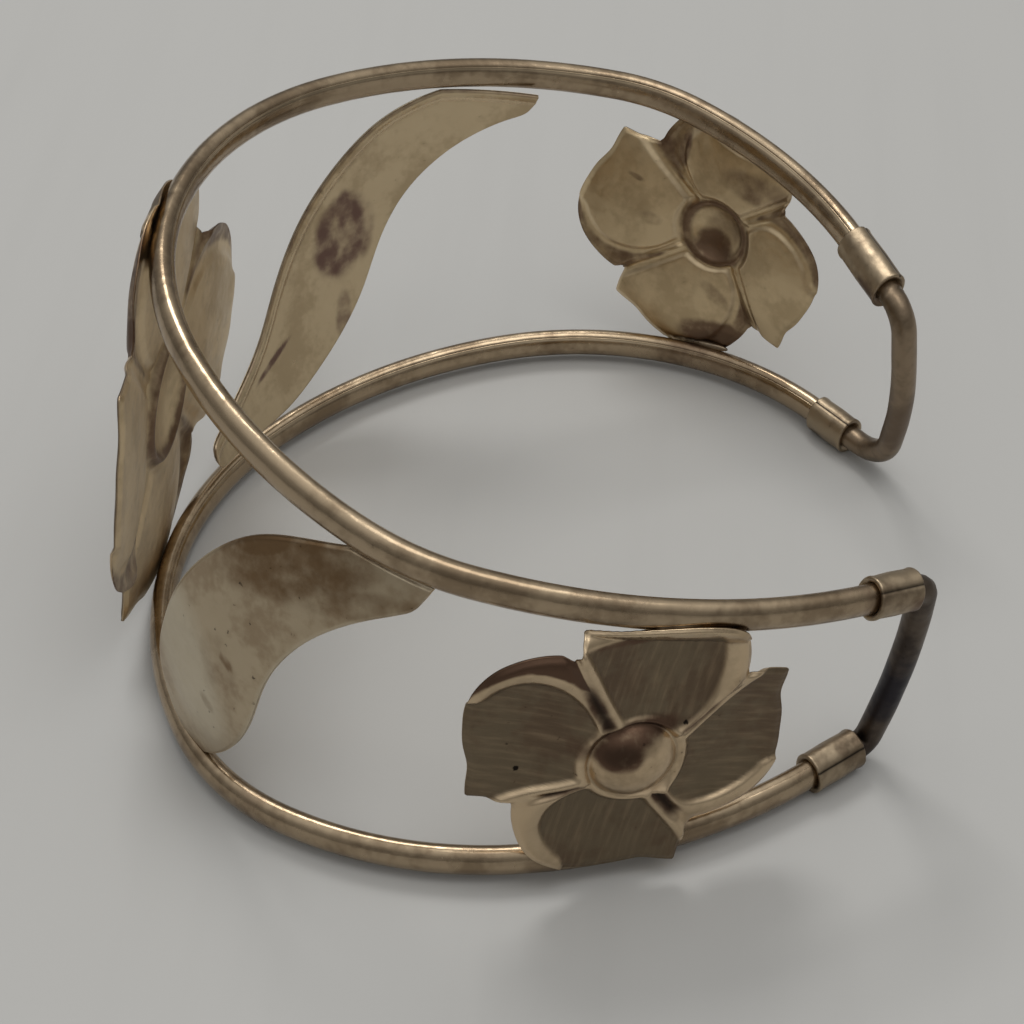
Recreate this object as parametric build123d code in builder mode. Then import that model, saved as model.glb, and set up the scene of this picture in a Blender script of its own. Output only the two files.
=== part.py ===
"""Openwork cuff bangle: two seamed wire rails, three stamped flowers, two domed leaves and two end loops.

Millimetres, +Z up. The bangle lies on its lower rail. +X points from the centre flower to the opening,
+Y to the back, and the origin is at the bottom centre of the finished bangle.
"""

import os
from math import cos, degrees, radians, sin, sqrt

from build123d import *

# Rail wire: an oval tube, flatter from the inside of the cuff to the outside
rail_thickness = 1.75
rail_height = 2.4

# Plane of the upper rail, over the plane of the lower rail that lies on the table
upper_rise = 25.0
upper_taper = 14.3
upper_lean = 2.1

# Middle of the cuff on each rail, in the plane of that rail
lower_middle = (-23.1, -1.4)
upper_middle = (-20.8, 2.4)

# Bends of each half rail, from the middle of the cuff to the opening: (sweep in degrees, radius)
lower_front_bends = ((32, 31), (34, 18), (33, 29), (31, 40))
lower_back_bends = ((36, 27), (35, 36.5), (37, 26), (29.5, 24.5))
upper_front_bends = ((34, 24), (28, 34.5), (25, 18), (33.5, 45.5))
upper_back_bends = ((46, 26), (37, 38.5), (31, 13), (38, 26.4))

# Sleeves over the rail ends
front_upper_sleeve_length = 3.4
front_lower_sleeve_length = 4.2
back_upper_sleeve_length = 5.6
back_lower_sleeve_length = 3.8
sleeve_wall = 0.35
sleeve_clearance = 0.06

# End loops that push into the sleeves: radii of the upper bend, the belly and the lower bend
loop_wire = 1.9
end_gap = 0.3
front_loop_bends = (1.0, 50, 1.05)
back_loop_bends = (2.4, 26, 3.9)
front_loop_belly = 1.1
back_loop_belly = 1.3

# Stamped sheet of the flowers and leaves, and the hairline that solder fills where they meet a rail
sheet = 0.5
seat_gap = 0.05

# Flowers span the rails and lap over them; runs along the lower and upper rail to each flower
front_flower_runs = (52.0, 49.0)
back_flower_runs = (57.0, 52.0)
centre_flower_runs = (1.5, 0.0)
front_flower_lap = 0.35
back_flower_lap = -0.5
centre_flower_lap = 0.7
front_flower_turn = 26.5
back_flower_turn = 63.4
centre_flower_turn = 47.5
front_flower_bend = 26
back_flower_bend = 24.5
centre_flower_bend = 70

# Leans of each flower off its seat in degrees: (about the run of the rails, about the climb between them)
front_flower_leans = (-1.5, 2.0)
back_flower_leans = (1.0, -9.0)
centre_flower_leans = (-1.0, -1.4)

# Petal outline from one notch to the next: (share of the flower's reach, degrees past the notch)
petals = 4
petal_notch = (0.80, 0)
petal_shoulder = (0.96, 16.5)
petal_corner = (1.03, 34.5)
petal_side = (0.96, 61)
petal_tip = (1.02, 79)
petal_last_notch = (0.80, 360 / petals)
petal_overlap = 2
petal_start = 0.2

# Middle and radius of the petal dish, in shares of the flower's reach
petal_middle = (0.55, 47)
small_petal_dish = 2.1
centre_petal_dish = 4.0

# Boss in the middle of a flower, in shares of the flower's reach
boss_share = 0.27
hub_share = 0.35
hub_height = 0.9
small_boss_rise = 1.4
centre_boss_rise = 0.8

# Leaves: runs along the lower and upper rail to each leaf, its length, and its bend along the rails
front_leaf_runs = (26.0, 24.8)
back_leaf_runs = (24.8, 22.8)
front_leaf_length = 25.0
back_leaf_length = 29.0
leaf_bend = 26.0
leaf_rise = 1.8
leaf_lap = 0.15

# Leaf outlines in arcs, from the tip under the upper rail along the inner edge to the foot on the lower
# rail and back along the outer edge: (middle of the arc), (end of the arc), each as (share of the
# length, share of the half height)
front_leaf_outline = (
    ((0.445, 0.82), (0.42, 0.64)),
    ((0.14, 0.21), (0.02, -0.35)),
    ((-0.06, -0.67), (-0.20, -0.95)),
    ((-0.27, -1.0), (-0.34, -0.96)),
    ((-0.42, -0.64), (-0.38, -0.24)),
    ((-0.24, 0.33), (-0.04, 0.72)),
    ((0.12, 0.82), (0.26, 0.87)),
    ((0.36, 0.94), (0.45, 1.0)),
)
back_leaf_outline = (
    ((0.515, 0.90), (0.50, 0.80)),
    ((0.28, 0.44), (0.12, -0.26)),
    ((0.0, -0.68), (-0.20, -0.97)),
    ((-0.35, -1.0), (-0.50, -0.98)),
    ((-0.52, -0.90), (-0.52, -0.80)),
    ((-0.37, -0.65), (-0.25, -0.37)),
    ((-0.11, 0.23), (0.07, 0.69)),
    ((0.17, 0.84), (0.30, 0.94)),
    ((0.40, 0.98), (0.52, 1.0)),
)


def half_rail(plane, middle, heading, turn, bends, sleeve_length):
    """Path of half a rail: tangent arcs, then the straight end that sits in its sleeve."""
    with BuildLine() as run:
        position, direction = Vector(*middle), Vector(0, heading)
        for sweep, radius in bends:
            arc = JernArc(position, direction, radius, turn * sweep)
            position, direction = arc @ 1, arc % 1
        Line(position, position + direction * sleeve_length / 2)
    return plane.from_local_coords(run.wire())


def wire_plane(path, share, rail_plane):
    """Plane across a path at a share of its length: local Y is the height of the wire."""
    along = path % share
    return Plane(path @ share, x_dir=rail_plane.z_dir.cross(along), z_dir=along)


def seat_plane(lower_path, upper_path, runs, outward_turn):
    """Plane between the rails where an ornament sits: local Y climbs to the upper rail, Z points out."""
    lower_share = runs[0] / lower_path.length
    upper_share = runs[1] / upper_path.length
    low, high = lower_path @ lower_share, upper_path @ upper_share
    climb = (high - low).normalized()
    along = ((lower_path % lower_share) + (upper_path % upper_share)) * outward_turn
    out = along.cross(climb).normalized()
    return Plane((low + high) / 2, x_dir=climb.cross(out), z_dir=out), (high - low).length


lower_plane = Plane.XY
upper_plane = Plane.XY.offset(upper_rise).rotated((upper_lean, upper_taper, 0))
lower_front = half_rail(lower_plane, lower_middle, -1, 1, lower_front_bends, front_lower_sleeve_length)
lower_back = half_rail(lower_plane, lower_middle, 1, -1, lower_back_bends, back_lower_sleeve_length)
upper_front = half_rail(upper_plane, upper_middle, -1, 1, upper_front_bends, front_upper_sleeve_length)
upper_back = half_rail(upper_plane, upper_middle, 1, -1, upper_back_bends, back_upper_sleeve_length)


# Rails
with BuildPart() as lower_rail:
    for path in (lower_front, lower_back):
        with BuildSketch(wire_plane(path, 0, lower_plane)):
            Ellipse(rail_thickness / 2, rail_height / 2)
        sweep(path=path)

with BuildPart() as upper_rail:
    for path in (upper_front, upper_back):
        with BuildSketch(wire_plane(path, 0, upper_plane)):
            Ellipse(rail_thickness / 2, rail_height / 2)
        sweep(path=path)

# Room round the rails that the stampings keep clear of
with BuildPart() as rail_room:
    for path, plane in (
        (lower_front, lower_plane),
        (lower_back, lower_plane),
        (upper_front, upper_plane),
        (upper_back, upper_plane),
    ):
        with BuildSketch(wire_plane(path, 0, plane)):
            Ellipse(rail_thickness / 2 + seat_gap, rail_height / 2 + seat_gap)
        sweep(path=path)


def trimmed(stamping):
    """The stamping alone, without the offcuts that a rail parts from its edge."""
    return stamping.part.solids().sort_by(SortBy.VOLUME)[-1]


def polar(share_and_bearing, reach, start):
    """Point of a flower outline, from a share of the reach and a bearing past a start angle."""
    share, bearing = share_and_bearing
    angle = radians(start + bearing)
    return Vector(share * reach * cos(angle), share * reach * sin(angle))


def petal(seat, reach, start, bend, floor, dish):
    """One dished petal, tilted to follow the bend of the rails."""
    middle = polar(petal_middle, reach, start)
    tilt = middle.X / bend
    drop = bend * (1 - cos(tilt))
    shift = Vector(-bend * sin(tilt), 0)
    tilted = Plane(seat.location * Location((-shift.X, 0, -drop), (0, degrees(tilt), 0)))
    with BuildPart() as bowl:
        with Locations(tilted.location * Location((middle + shift) + Vector(0, 0, floor + dish))):
            Sphere(dish)
            Sphere(dish - sheet, mode=Mode.SUBTRACT)

    start_cut, end_cut = petal_notch[1] - petal_overlap, petal_last_notch[1] + petal_overlap
    notch = polar((petal_notch[0], start_cut), reach, start) + shift
    shoulder = polar(petal_shoulder, reach, start) + shift
    corner = polar(petal_corner, reach, start) + shift
    side = polar(petal_side, reach, start) + shift
    tip = polar(petal_tip, reach, start) + shift
    last_notch = polar((petal_last_notch[0], end_cut), reach, start) + shift
    last_root = polar((petal_start, end_cut), reach, start) + shift
    root = polar((petal_start, start_cut), reach, start) + shift
    with BuildPart() as blank:
        with BuildSketch(tilted.offset(floor - sheet)):
            with BuildLine():
                ThreePointArc(notch, shoulder, corner)
                ThreePointArc(corner, side, tip)
                Polyline(tip, last_notch, last_root, root, notch)
            make_face()
        extrude(amount=dish / 2)
        add(bowl.part, mode=Mode.INTERSECT)
    return blank.part


def flower(seat, spacing, lap, turn, bend, dish_share, rise):
    """A stamped flower: four dished petals round a hollow boss, lapped over both rails."""
    reach = spacing / 2 + lap
    dish = dish_share * reach
    middle = petal_middle[0] * reach
    floor = rail_thickness / 2 + seat_gap - (spacing / 2 - middle) ** 2 / (2 * dish)
    hub_base = floor + middle**2 / (2 * dish) - sheet
    hub_top = hub_base + hub_height
    hub = hub_share * reach
    boss = boss_share * reach
    crown = (boss**2 + rise**2) / (2 * rise)
    inner_boss = sqrt((crown - sheet) ** 2 - (crown - rise) ** 2)
    with BuildPart() as stamping:
        for number in range(petals):
            start = turn + number * petal_last_notch[1]
            add(petal(seat, reach, start, bend, floor, dish))
        with BuildSketch(Plane(seat.origin, x_dir=seat.x_dir, z_dir=-seat.y_dir)):
            with BuildLine():
                Polyline((inner_boss, hub_top), (inner_boss, hub_base), (hub, hub_base))
                Polyline((hub, hub_base), (hub, hub_top), (boss, hub_top))
                RadiusArc((boss, hub_top), (0, hub_top + rise), -crown)
                Line((0, hub_top + rise), (0, hub_top + rise - sheet))
                RadiusArc((0, hub_top + rise - sheet), (inner_boss, hub_top), crown - sheet)
            make_face()
        revolve(axis=Axis(seat.origin, seat.z_dir))
        add(rail_room.part, mode=Mode.SUBTRACT)
    return trimmed(stamping)


def leaf(seat, spacing, length, outline, side):
    """A domed leaf between the rails: its foot on the lower rail, its tip under the upper one."""
    half_height = spacing / 2 - rail_height / 2 + leaf_lap
    dome = (half_height**2 + leaf_rise**2) / (2 * leaf_rise)
    with BuildPart() as ring:
        with BuildSketch(Plane(seat.origin, x_dir=seat.y_dir, z_dir=seat.x_dir)):
            with Locations((0, leaf_rise - dome)):
                Circle(dome + sheet / 2)
                Circle(dome - sheet / 2, mode=Mode.SUBTRACT)
            Rectangle(2 * spacing, leaf_bend, mode=Mode.INTERSECT)
        revolve(axis=Axis(seat.origin - seat.z_dir * leaf_bend, seat.y_dir))

    def at(shares):
        """Point of the outline on the seat plane, from its shares."""
        return (side * shares[0] * length, shares[1] * half_height)

    with BuildPart() as stamping:
        with BuildSketch(seat):
            with BuildLine():
                start = outline[-1][1]
                for through, end in outline:
                    ThreePointArc(at(start), at(through), at(end))
                    start = end
            make_face()
        extrude(amount=leaf_bend / 2, both=True)
        add(ring.part, mode=Mode.INTERSECT)
        add(rail_room.part, mode=Mode.SUBTRACT)
    return trimmed(stamping)


# Flowers
centre_seat, centre_spacing = seat_plane(lower_back, upper_back, centre_flower_runs, -1)
with BuildPart() as centre_flower:
    add(
        flower(
            centre_seat.rotated((*centre_flower_leans, 0)),
            centre_spacing,
            centre_flower_lap,
            centre_flower_turn,
            centre_flower_bend,
            centre_petal_dish,
            centre_boss_rise,
        )
    )

front_seat, front_spacing = seat_plane(lower_front, upper_front, front_flower_runs, 1)
with BuildPart() as front_flower:
    add(
        flower(
            front_seat.rotated((*front_flower_leans, 0)),
            front_spacing,
            front_flower_lap,
            front_flower_turn,
            front_flower_bend,
            small_petal_dish,
            small_boss_rise,
        )
    )

back_seat, back_spacing = seat_plane(lower_back, upper_back, back_flower_runs, -1)
with BuildPart() as back_flower:
    add(
        flower(
            back_seat.rotated((*back_flower_leans, 0)),
            back_spacing,
            back_flower_lap,
            back_flower_turn,
            back_flower_bend,
            small_petal_dish,
            small_boss_rise,
        )
    )

# Leaves
front_leaf_seat, front_leaf_spacing = seat_plane(lower_front, upper_front, front_leaf_runs, 1)
with BuildPart() as front_leaf:
    add(leaf(front_leaf_seat, front_leaf_spacing, front_leaf_length, front_leaf_outline, 1))

back_leaf_seat, back_leaf_spacing = seat_plane(lower_back, upper_back, back_leaf_runs, -1)
with BuildPart() as back_leaf:
    add(leaf(back_leaf_seat, back_leaf_spacing, back_leaf_length, back_leaf_outline, -1))


def sleeve(path, rail_plane, length):
    """A tube over the end of a rail: the rail stops in the middle of it."""
    bore_radius = max(rail_thickness, loop_wire) / 2 + sleeve_clearance
    bore_height = max(rail_height, loop_wire) / 2 + sleeve_clearance
    with BuildPart() as tube:
        with BuildSketch(wire_plane(path, 1, rail_plane)):
            Ellipse(bore_radius + sleeve_wall, bore_height + sleeve_wall)
            Ellipse(bore_radius, bore_height, mode=Mode.SUBTRACT)
        extrude(amount=length / 2, both=True)
    return tube.part


# Sleeves
with BuildPart() as front_upper_sleeve:
    add(sleeve(upper_front, upper_plane, front_upper_sleeve_length))

with BuildPart() as front_lower_sleeve:
    add(sleeve(lower_front, lower_plane, front_lower_sleeve_length))

with BuildPart() as back_upper_sleeve:
    add(sleeve(upper_back, upper_plane, back_upper_sleeve_length))

with BuildPart() as back_lower_sleeve:
    add(sleeve(lower_back, lower_plane, back_lower_sleeve_length))


def end_loop(upper_path, lower_path, sleeve_lengths, bends, belly):
    """A wire loop that leaves one sleeve, turns down and goes back into the other."""
    high, high_way = upper_path @ 1, upper_path % 1
    low, low_way = lower_path @ 1, lower_path % 1
    high_corner = high + high_way * (sleeve_lengths[0] / 2 + bends[0])
    low_corner = low + low_way * (sleeve_lengths[1] / 2 + bends[2])
    middle = (high_corner + low_corner) / 2 + (high_way + low_way).normalized() * belly
    with BuildPart() as loop:
        with BuildLine() as run:
            FilletPolyline(
                high + high_way * end_gap,
                high_corner,
                middle,
                low_corner,
                low + low_way * end_gap,
                radius=bends,
            )
        with BuildSketch(Plane(run.line @ 0, z_dir=run.line % 0)):
            Circle(loop_wire / 2)
        sweep(path=run.wire())
    return loop.part


# End loops
front_sleeve_lengths = (front_upper_sleeve_length, front_lower_sleeve_length)
with BuildPart() as front_end_loop:
    add(end_loop(upper_front, lower_front, front_sleeve_lengths, front_loop_bends, front_loop_belly))

back_sleeve_lengths = (back_upper_sleeve_length, back_lower_sleeve_length)
with BuildPart() as back_end_loop:
    add(end_loop(upper_back, lower_back, back_sleeve_lengths, back_loop_bends, back_loop_belly))

pieces = {
    "lower_rail": lower_rail,
    "upper_rail": upper_rail,
    "centre_flower": centre_flower,
    "front_flower": front_flower,
    "back_flower": back_flower,
    "front_leaf": front_leaf,
    "back_leaf": back_leaf,
    "front_upper_sleeve": front_upper_sleeve,
    "front_lower_sleeve": front_lower_sleeve,
    "back_upper_sleeve": back_upper_sleeve,
    "back_lower_sleeve": back_lower_sleeve,
    "front_end_loop": front_end_loop,
    "back_end_loop": back_end_loop,
}

# The finished bangle stands on the origin, centred over it
box = Compound([piece.part for piece in pieces.values()]).bounding_box()
stand = Location((-box.center().X, -box.center().Y, -box.min.Z))

os.makedirs("parts", exist_ok=True)
for name, piece in pieces.items():
    piece.part.label = name
    export_step(piece.part.moved(stand), f"parts/{name}.step")
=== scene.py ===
"""Looks of an openwork gold cuff bangle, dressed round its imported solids.

Sizes are in millimetres, as a maker would give them, and every mesh is written in metres. The rails are
drawn again from the same bends as the solids, so that seams, sleeves, loops, flowers and leaves sit on them.
"""

import logging
import math
from dataclasses import dataclass, field
from enum import Enum
from typing import Sequence

import bpy
import numpy as np
from mathutils import Matrix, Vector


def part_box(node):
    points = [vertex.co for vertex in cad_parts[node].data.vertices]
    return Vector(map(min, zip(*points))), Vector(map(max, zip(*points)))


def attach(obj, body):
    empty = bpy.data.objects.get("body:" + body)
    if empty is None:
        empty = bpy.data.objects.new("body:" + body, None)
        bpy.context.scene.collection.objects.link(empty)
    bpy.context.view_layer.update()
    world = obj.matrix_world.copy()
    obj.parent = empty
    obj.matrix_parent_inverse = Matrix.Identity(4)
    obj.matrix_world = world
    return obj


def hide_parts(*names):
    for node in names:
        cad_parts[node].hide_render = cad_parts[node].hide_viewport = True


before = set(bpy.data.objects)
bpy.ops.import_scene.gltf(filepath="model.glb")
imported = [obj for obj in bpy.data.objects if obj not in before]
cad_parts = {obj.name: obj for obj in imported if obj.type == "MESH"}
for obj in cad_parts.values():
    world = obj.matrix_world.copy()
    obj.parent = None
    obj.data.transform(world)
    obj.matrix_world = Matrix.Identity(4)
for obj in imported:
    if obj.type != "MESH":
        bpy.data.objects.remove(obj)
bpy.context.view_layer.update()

log = logging.getLogger("bangle")
logging.basicConfig(level=logging.INFO, format="%(message)s")

MM = 0.001
BODY = "root"
Colour = tuple[float, float, float]
Pair = tuple[float, float]
Triple = tuple[float, float, float]

RAIL_THICKNESS = 1.75
RAIL_HEIGHT = 2.4
SHEET = 0.5
SEAT_GAP = 0.05
TOUCH_GAP = 0.03
NEAR_SEAT = 14.0


class Slot(Enum):
    """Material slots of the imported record."""

    RAIL = "rail_metal"
    FLOWER = "flower_metal"
    LEAF = "leaf_metal"
    SLEEVE = "sleeve_metal"
    LOOP = "loop_metal"


class Mask(Enum):
    """What a finish reads at each point of a mesh, from 0 to 1."""

    BRUSHED = "brushed"
    # Stains and tarnish, and also painted shade under things and in hollows.
    STAIN_AND_SHADE = "stain_and_shade"
    DARK = "dark"
    # Pale worn metal, and also painted highlights on the rail's flat and the flower's fold.
    PALE_AND_HIGHLIGHT = "pale_and_highlight"


Masks = dict[Mask, np.ndarray]
GRAIN = "grain"


def unit(vector: np.ndarray) -> np.ndarray:
    """The vector at length one."""
    return vector / np.linalg.norm(vector)


def ease(value: np.ndarray, low: float, high: float) -> np.ndarray:
    """A smooth step from 0 at low to 1 at high."""
    t = np.clip((value - low) / (high - low), 0.0, 1.0)
    return t * t * (3.0 - 2.0 * t)


def soft_least(a: np.ndarray, b: np.ndarray, blend: float) -> np.ndarray:
    """The lesser of two distances, rounded where they are nearly equal."""
    h = np.clip(0.5 + 0.5 * (b - a) / blend, 0.0, 1.0)
    return b + (a - b) * h - blend * h * (1.0 - h)


def wave(points: np.ndarray, size: float, seed: float) -> np.ndarray:
    """A smooth uneven pattern between about -1 and 1, with patches of the given size."""
    p = points * (2.0 * math.pi / size)
    x, y, z = p[:, 0], p[:, 1], p[:, 2]
    first = np.sin(x + 1.7 * seed + 0.9 * np.sin(0.8 * y + seed))
    second = np.sin(1.3 * y + 2.3 * seed + 1.1 * np.sin(0.7 * z + 2.0 * seed))
    third = np.sin(0.9 * z + 3.1 * seed + 0.8 * np.sin(1.1 * x - seed))
    return (first + second + third) / 3.0


def leaning(about_x: float, about_y: float) -> np.ndarray:
    """The matrix that turns by degrees about y and then about x."""
    a, b = math.radians(about_x), math.radians(about_y)
    lean = np.array([[1, 0, 0], [0, math.cos(a), -math.sin(a)], [0, math.sin(a), math.cos(a)]])
    taper = np.array([[math.cos(b), 0, math.sin(b)], [0, 1, 0], [-math.sin(b), 0, math.cos(b)]])
    return lean @ taper


def circle_centre(a: np.ndarray, b: np.ndarray, c: np.ndarray) -> np.ndarray:
    """Middle of the circle through three flat points."""
    rows = np.array([b - a, c - b]) * 2
    return np.linalg.solve(rows, np.array([b @ b - a @ a, c @ c - b @ b]))


def bell(value: np.ndarray, middle: float, width: float) -> np.ndarray:
    """A round ridge of height one about a middle value."""
    return np.exp(-(((value - middle) / width) ** 2))


def round_angles(sides: int) -> np.ndarray:
    """Even angles round a circle, in radians."""
    return np.linspace(0, 2 * math.pi, sides, endpoint=False)


def rays(bearings: np.ndarray) -> np.ndarray:
    """Flat directions at bearings in degrees."""
    return np.column_stack([np.cos(np.radians(bearings)), np.sin(np.radians(bearings))])


def runs_along(points: np.ndarray) -> np.ndarray:
    """How far along a path each of its points is."""
    gaps = np.linalg.norm(np.diff(points, axis=0), axis=1)
    return np.concatenate([[0.0], np.cumsum(gaps)])


def points_at(points: np.ndarray, runs: np.ndarray) -> np.ndarray:
    """Points of a path at distances along it."""
    far = runs_along(points)
    return np.column_stack([np.interp(runs, far, points[:, axis]) for axis in range(points.shape[1])])


def smoothed(points: np.ndarray, passes: int) -> np.ndarray:
    """A path with its corners eased by some light passes."""
    points = points.copy()
    for _ in range(passes):
        points[1:-1] = (points[:-2] + 2 * points[1:-1] + points[2:]) / 4
    return points


@dataclass(frozen=True)
class Placing:
    """A plane in space: its origin and its three directions."""

    origin: np.ndarray
    x: np.ndarray
    y: np.ndarray
    z: np.ndarray

    def place(self, local: np.ndarray) -> np.ndarray:
        """Points of the plane's own frame, in the frame around it."""
        return self.origin + local @ np.array([self.x, self.y, self.z])

    def leaned(self, leans: Pair, moved: Triple = (0.0, 0.0, 0.0)) -> "Placing":
        """The plane turned about its own directions, then moved along the turned ones.

        Args:
            leans: degrees about the x direction and about the y direction.
            moved: the move, in millimetres.

        Returns:
            The new plane.
        """
        x, y, z = leaning(*leans).T @ np.array([self.x, self.y, self.z])
        turned = Placing(self.origin, x, y, z)
        return Placing(turned.place(np.array(moved)), x, y, z)


@dataclass(frozen=True)
class HalfRail:
    """The path of half a rail: tangent arcs from the middle of the cuff, then a straight end.

    Its heading is 1 for the back half, which starts toward +Y and turns right, and -1 for the front half.
    """

    plane: Placing
    middle: Pair
    heading: int
    bends: Sequence[Pair]
    tail: float

    @property
    def turn(self) -> int:
        """Side that the path turns to: 1 to the left and -1 to the right."""
        return -self.heading

    @property
    def length(self) -> float:
        """Length of the path."""
        return sum(math.radians(sweep) * radius for sweep, radius in self.bends) + self.tail

    def at(self, distance: float) -> tuple[np.ndarray, np.ndarray]:
        """Point and direction of the path.

        Args:
            distance: how far along the path, from the middle of the cuff.

        Returns:
            The point and the unit direction there.
        """
        point, bearing = np.array(self.middle), self.heading * math.pi / 2
        for sweep, radius in self.bends:
            arc = min(math.radians(sweep), distance / radius)
            side = bearing + self.turn * math.pi / 2
            centre = point + radius * np.array([math.cos(side), math.sin(side)])
            bearing += self.turn * arc
            side = bearing + self.turn * math.pi / 2
            point = centre - radius * np.array([math.cos(side), math.sin(side)])
            distance -= arc * radius
            if arc < math.radians(sweep):
                break
        direction = np.array([math.cos(bearing), math.sin(bearing)])
        point = point + direction * max(distance, 0.0)
        plane = self.plane
        return (
            plane.place(np.array([[point[0], point[1], 0.0]]))[0],
            direction[0] * plane.x + direction[1] * plane.y,
        )


@dataclass(frozen=True)
class Layout:
    """Rails and seats of the bangle, from the same sizes as its solids."""

    upper_rise: float = 25.0
    upper_taper: float = 14.3
    upper_lean: float = 2.1
    lower_middle: Pair = (-23.1, -1.4)
    upper_middle: Pair = (-20.8, 2.4)
    lower_front_bends: Sequence[Pair] = ((32, 31), (34, 18), (33, 29), (31, 40))
    lower_back_bends: Sequence[Pair] = ((36, 27), (35, 36.5), (37, 26), (29.5, 24.5))
    upper_front_bends: Sequence[Pair] = ((34, 24), (28, 34.5), (25, 18), (33.5, 45.5))
    upper_back_bends: Sequence[Pair] = ((46, 26), (37, 38.5), (31, 13), (38, 26.4))
    front_upper_sleeve: float = 3.4
    front_lower_sleeve: float = 4.2
    back_upper_sleeve: float = 5.6
    back_lower_sleeve: float = 3.8
    path_step: float = 0.5
    push_height: float = 0.8

    @property
    def lower_plane(self) -> Placing:
        """Plane of the lower rail."""
        return Placing(np.zeros(3), *np.eye(3))

    @property
    def upper_plane(self) -> Placing:
        """Plane of the upper rail, tapered and leaned over the lower one."""
        return Placing(np.array([0.0, 0.0, self.upper_rise]), *leaning(self.upper_lean, self.upper_taper).T)

    @property
    def lower_front(self) -> HalfRail:
        """Front half of the lower rail."""
        tail = self.front_lower_sleeve / 2
        return HalfRail(self.lower_plane, self.lower_middle, -1, self.lower_front_bends, tail)

    @property
    def lower_back(self) -> HalfRail:
        """Back half of the lower rail."""
        tail = self.back_lower_sleeve / 2
        return HalfRail(self.lower_plane, self.lower_middle, 1, self.lower_back_bends, tail)

    @property
    def upper_front(self) -> HalfRail:
        """Front half of the upper rail."""
        tail = self.front_upper_sleeve / 2
        return HalfRail(self.upper_plane, self.upper_middle, -1, self.upper_front_bends, tail)

    @property
    def upper_back(self) -> HalfRail:
        """Back half of the upper rail."""
        tail = self.back_upper_sleeve / 2
        return HalfRail(self.upper_plane, self.upper_middle, 1, self.upper_back_bends, tail)

    @property
    def shift(self) -> np.ndarray:
        """The move from the rails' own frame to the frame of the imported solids."""
        low = np.array(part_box("lower_rail")[0]) / MM
        halves = (self.lower_front, self.lower_back)
        drawn = np.array([h.at(s)[0] for h in halves for s in np.linspace(0, h.length, 400)])
        edge = np.array([RAIL_THICKNESS / 2, RAIL_THICKNESS / 2, RAIL_HEIGHT / 2])
        return low - (drawn.min(0) - edge)

    def over_rails(self, points: np.ndarray, out: np.ndarray) -> np.ndarray:
        """Points of a sheet, pushed out where they would lie inside a rail.

        Args:
            points: middle points of the sheet.
            out: direction in which the sheet lies on the rails.

        Returns:
            The points, moved along that direction where needed.
        """
        lift = np.zeros(len(points))
        for half in (self.lower_front, self.lower_back, self.upper_front, self.upper_back):
            path = np.array([half.at(s)[0] for s in np.arange(0.0, half.length, self.path_step)])
            far = ((points[:, None, :] - path[None, :, :]) ** 2).sum(2)
            from_rail = points - path[far.argmin(1)]
            height = from_rail @ half.plane.z
            needed = (RAIL_THICKNESS + SHEET) / 2 * (1 - (height / (self.push_height * RAIL_HEIGHT)) ** 2)
            needed = needed + TOUCH_GAP
            near = (np.abs(height) < self.push_height * RAIL_HEIGHT) & (far.min(1) < RAIL_HEIGHT**2)
            lift = np.maximum(lift, np.where(near, needed - from_rail @ out, 0.0))
        return points + lift[:, None] * out

    def front_seat(self, *runs: float) -> tuple[Placing, float]:
        """A seat on the front half, at distances along the lower and the upper rail."""
        return self.seat(self.lower_front, self.upper_front, runs, 1)

    def back_seat(self, *runs: float) -> tuple[Placing, float]:
        """A seat on the back half, at distances along the lower and the upper rail."""
        return self.seat(self.lower_back, self.upper_back, runs, -1)

    def rail_heights(self, half: HalfRail, seat: Placing, x: np.ndarray) -> np.ndarray:
        """How high the axis of a rail passes over or under a seat, at distances along the seat."""
        path = np.array([half.at(s)[0] for s in np.arange(0.0, half.length, self.path_step)]) - seat.origin
        near = np.abs(path @ seat.z) < NEAR_SEAT
        along, high = path[near] @ seat.x, path[near] @ seat.y
        order = np.argsort(along)
        return np.interp(x, along[order], high[order])

    def seat(self, lower: HalfRail, upper: HalfRail, runs: Pair, outward: int) -> tuple[Placing, float]:
        """The plane between the rails where an ornament sits.

        Args:
            lower: half of the lower rail.
            upper: half of the upper rail.
            runs: distances along the two halves from the middle of the cuff.
            outward: 1 on the front half and -1 on the back half.

        Returns:
            The plane, with y up to the upper rail and z outward, and the distance between the rails.
        """
        low, low_way = lower.at(runs[0])
        high, high_way = upper.at(runs[1])
        climb = unit(high - low)
        out = unit(np.cross((low_way + high_way) * outward, climb))
        across = np.cross(climb, out)
        middle = (low + high) / 2
        return Placing(middle, across, np.cross(out, across), out), float(np.linalg.norm(high - low))


@dataclass
class Skin:
    """A mesh in the making, with what its finish reads at each point."""

    points: np.ndarray
    faces: list[tuple[int, ...]]
    grain: np.ndarray
    masks: Masks = field(default_factory=dict)
    face_finish: list[int] = field(default_factory=list)


def grid_faces(rows: int, columns: int, closed: bool, start: int = 0, flip: bool = False) -> list:
    """Four-sided faces between the rows and columns of a grid of points.

    Args:
        rows: number of rows.
        columns: number of points in a row.
        closed: whether each row ends where it starts.
        start: number of the first point.
        flip: whether the faces look the other way.

    Returns:
        The faces, as point numbers.
    """
    faces = []
    for row in range(rows - 1):
        for column in range(columns if closed else columns - 1):
            following = (column + 1) % columns
            a, b = start + row * columns + column, start + row * columns + following
            face = (a, b, b + columns, a + columns)
            faces.append(face[::-1] if flip else face)
    return faces


def tube_faces(rows: int, columns: int) -> list:
    """Faces of a tube, with one face over each end."""
    faces = grid_faces(rows, columns, True)
    faces.append(tuple(range(columns))[::-1])
    faces.append(tuple(range((rows - 1) * columns, rows * columns)))
    return faces


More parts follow.
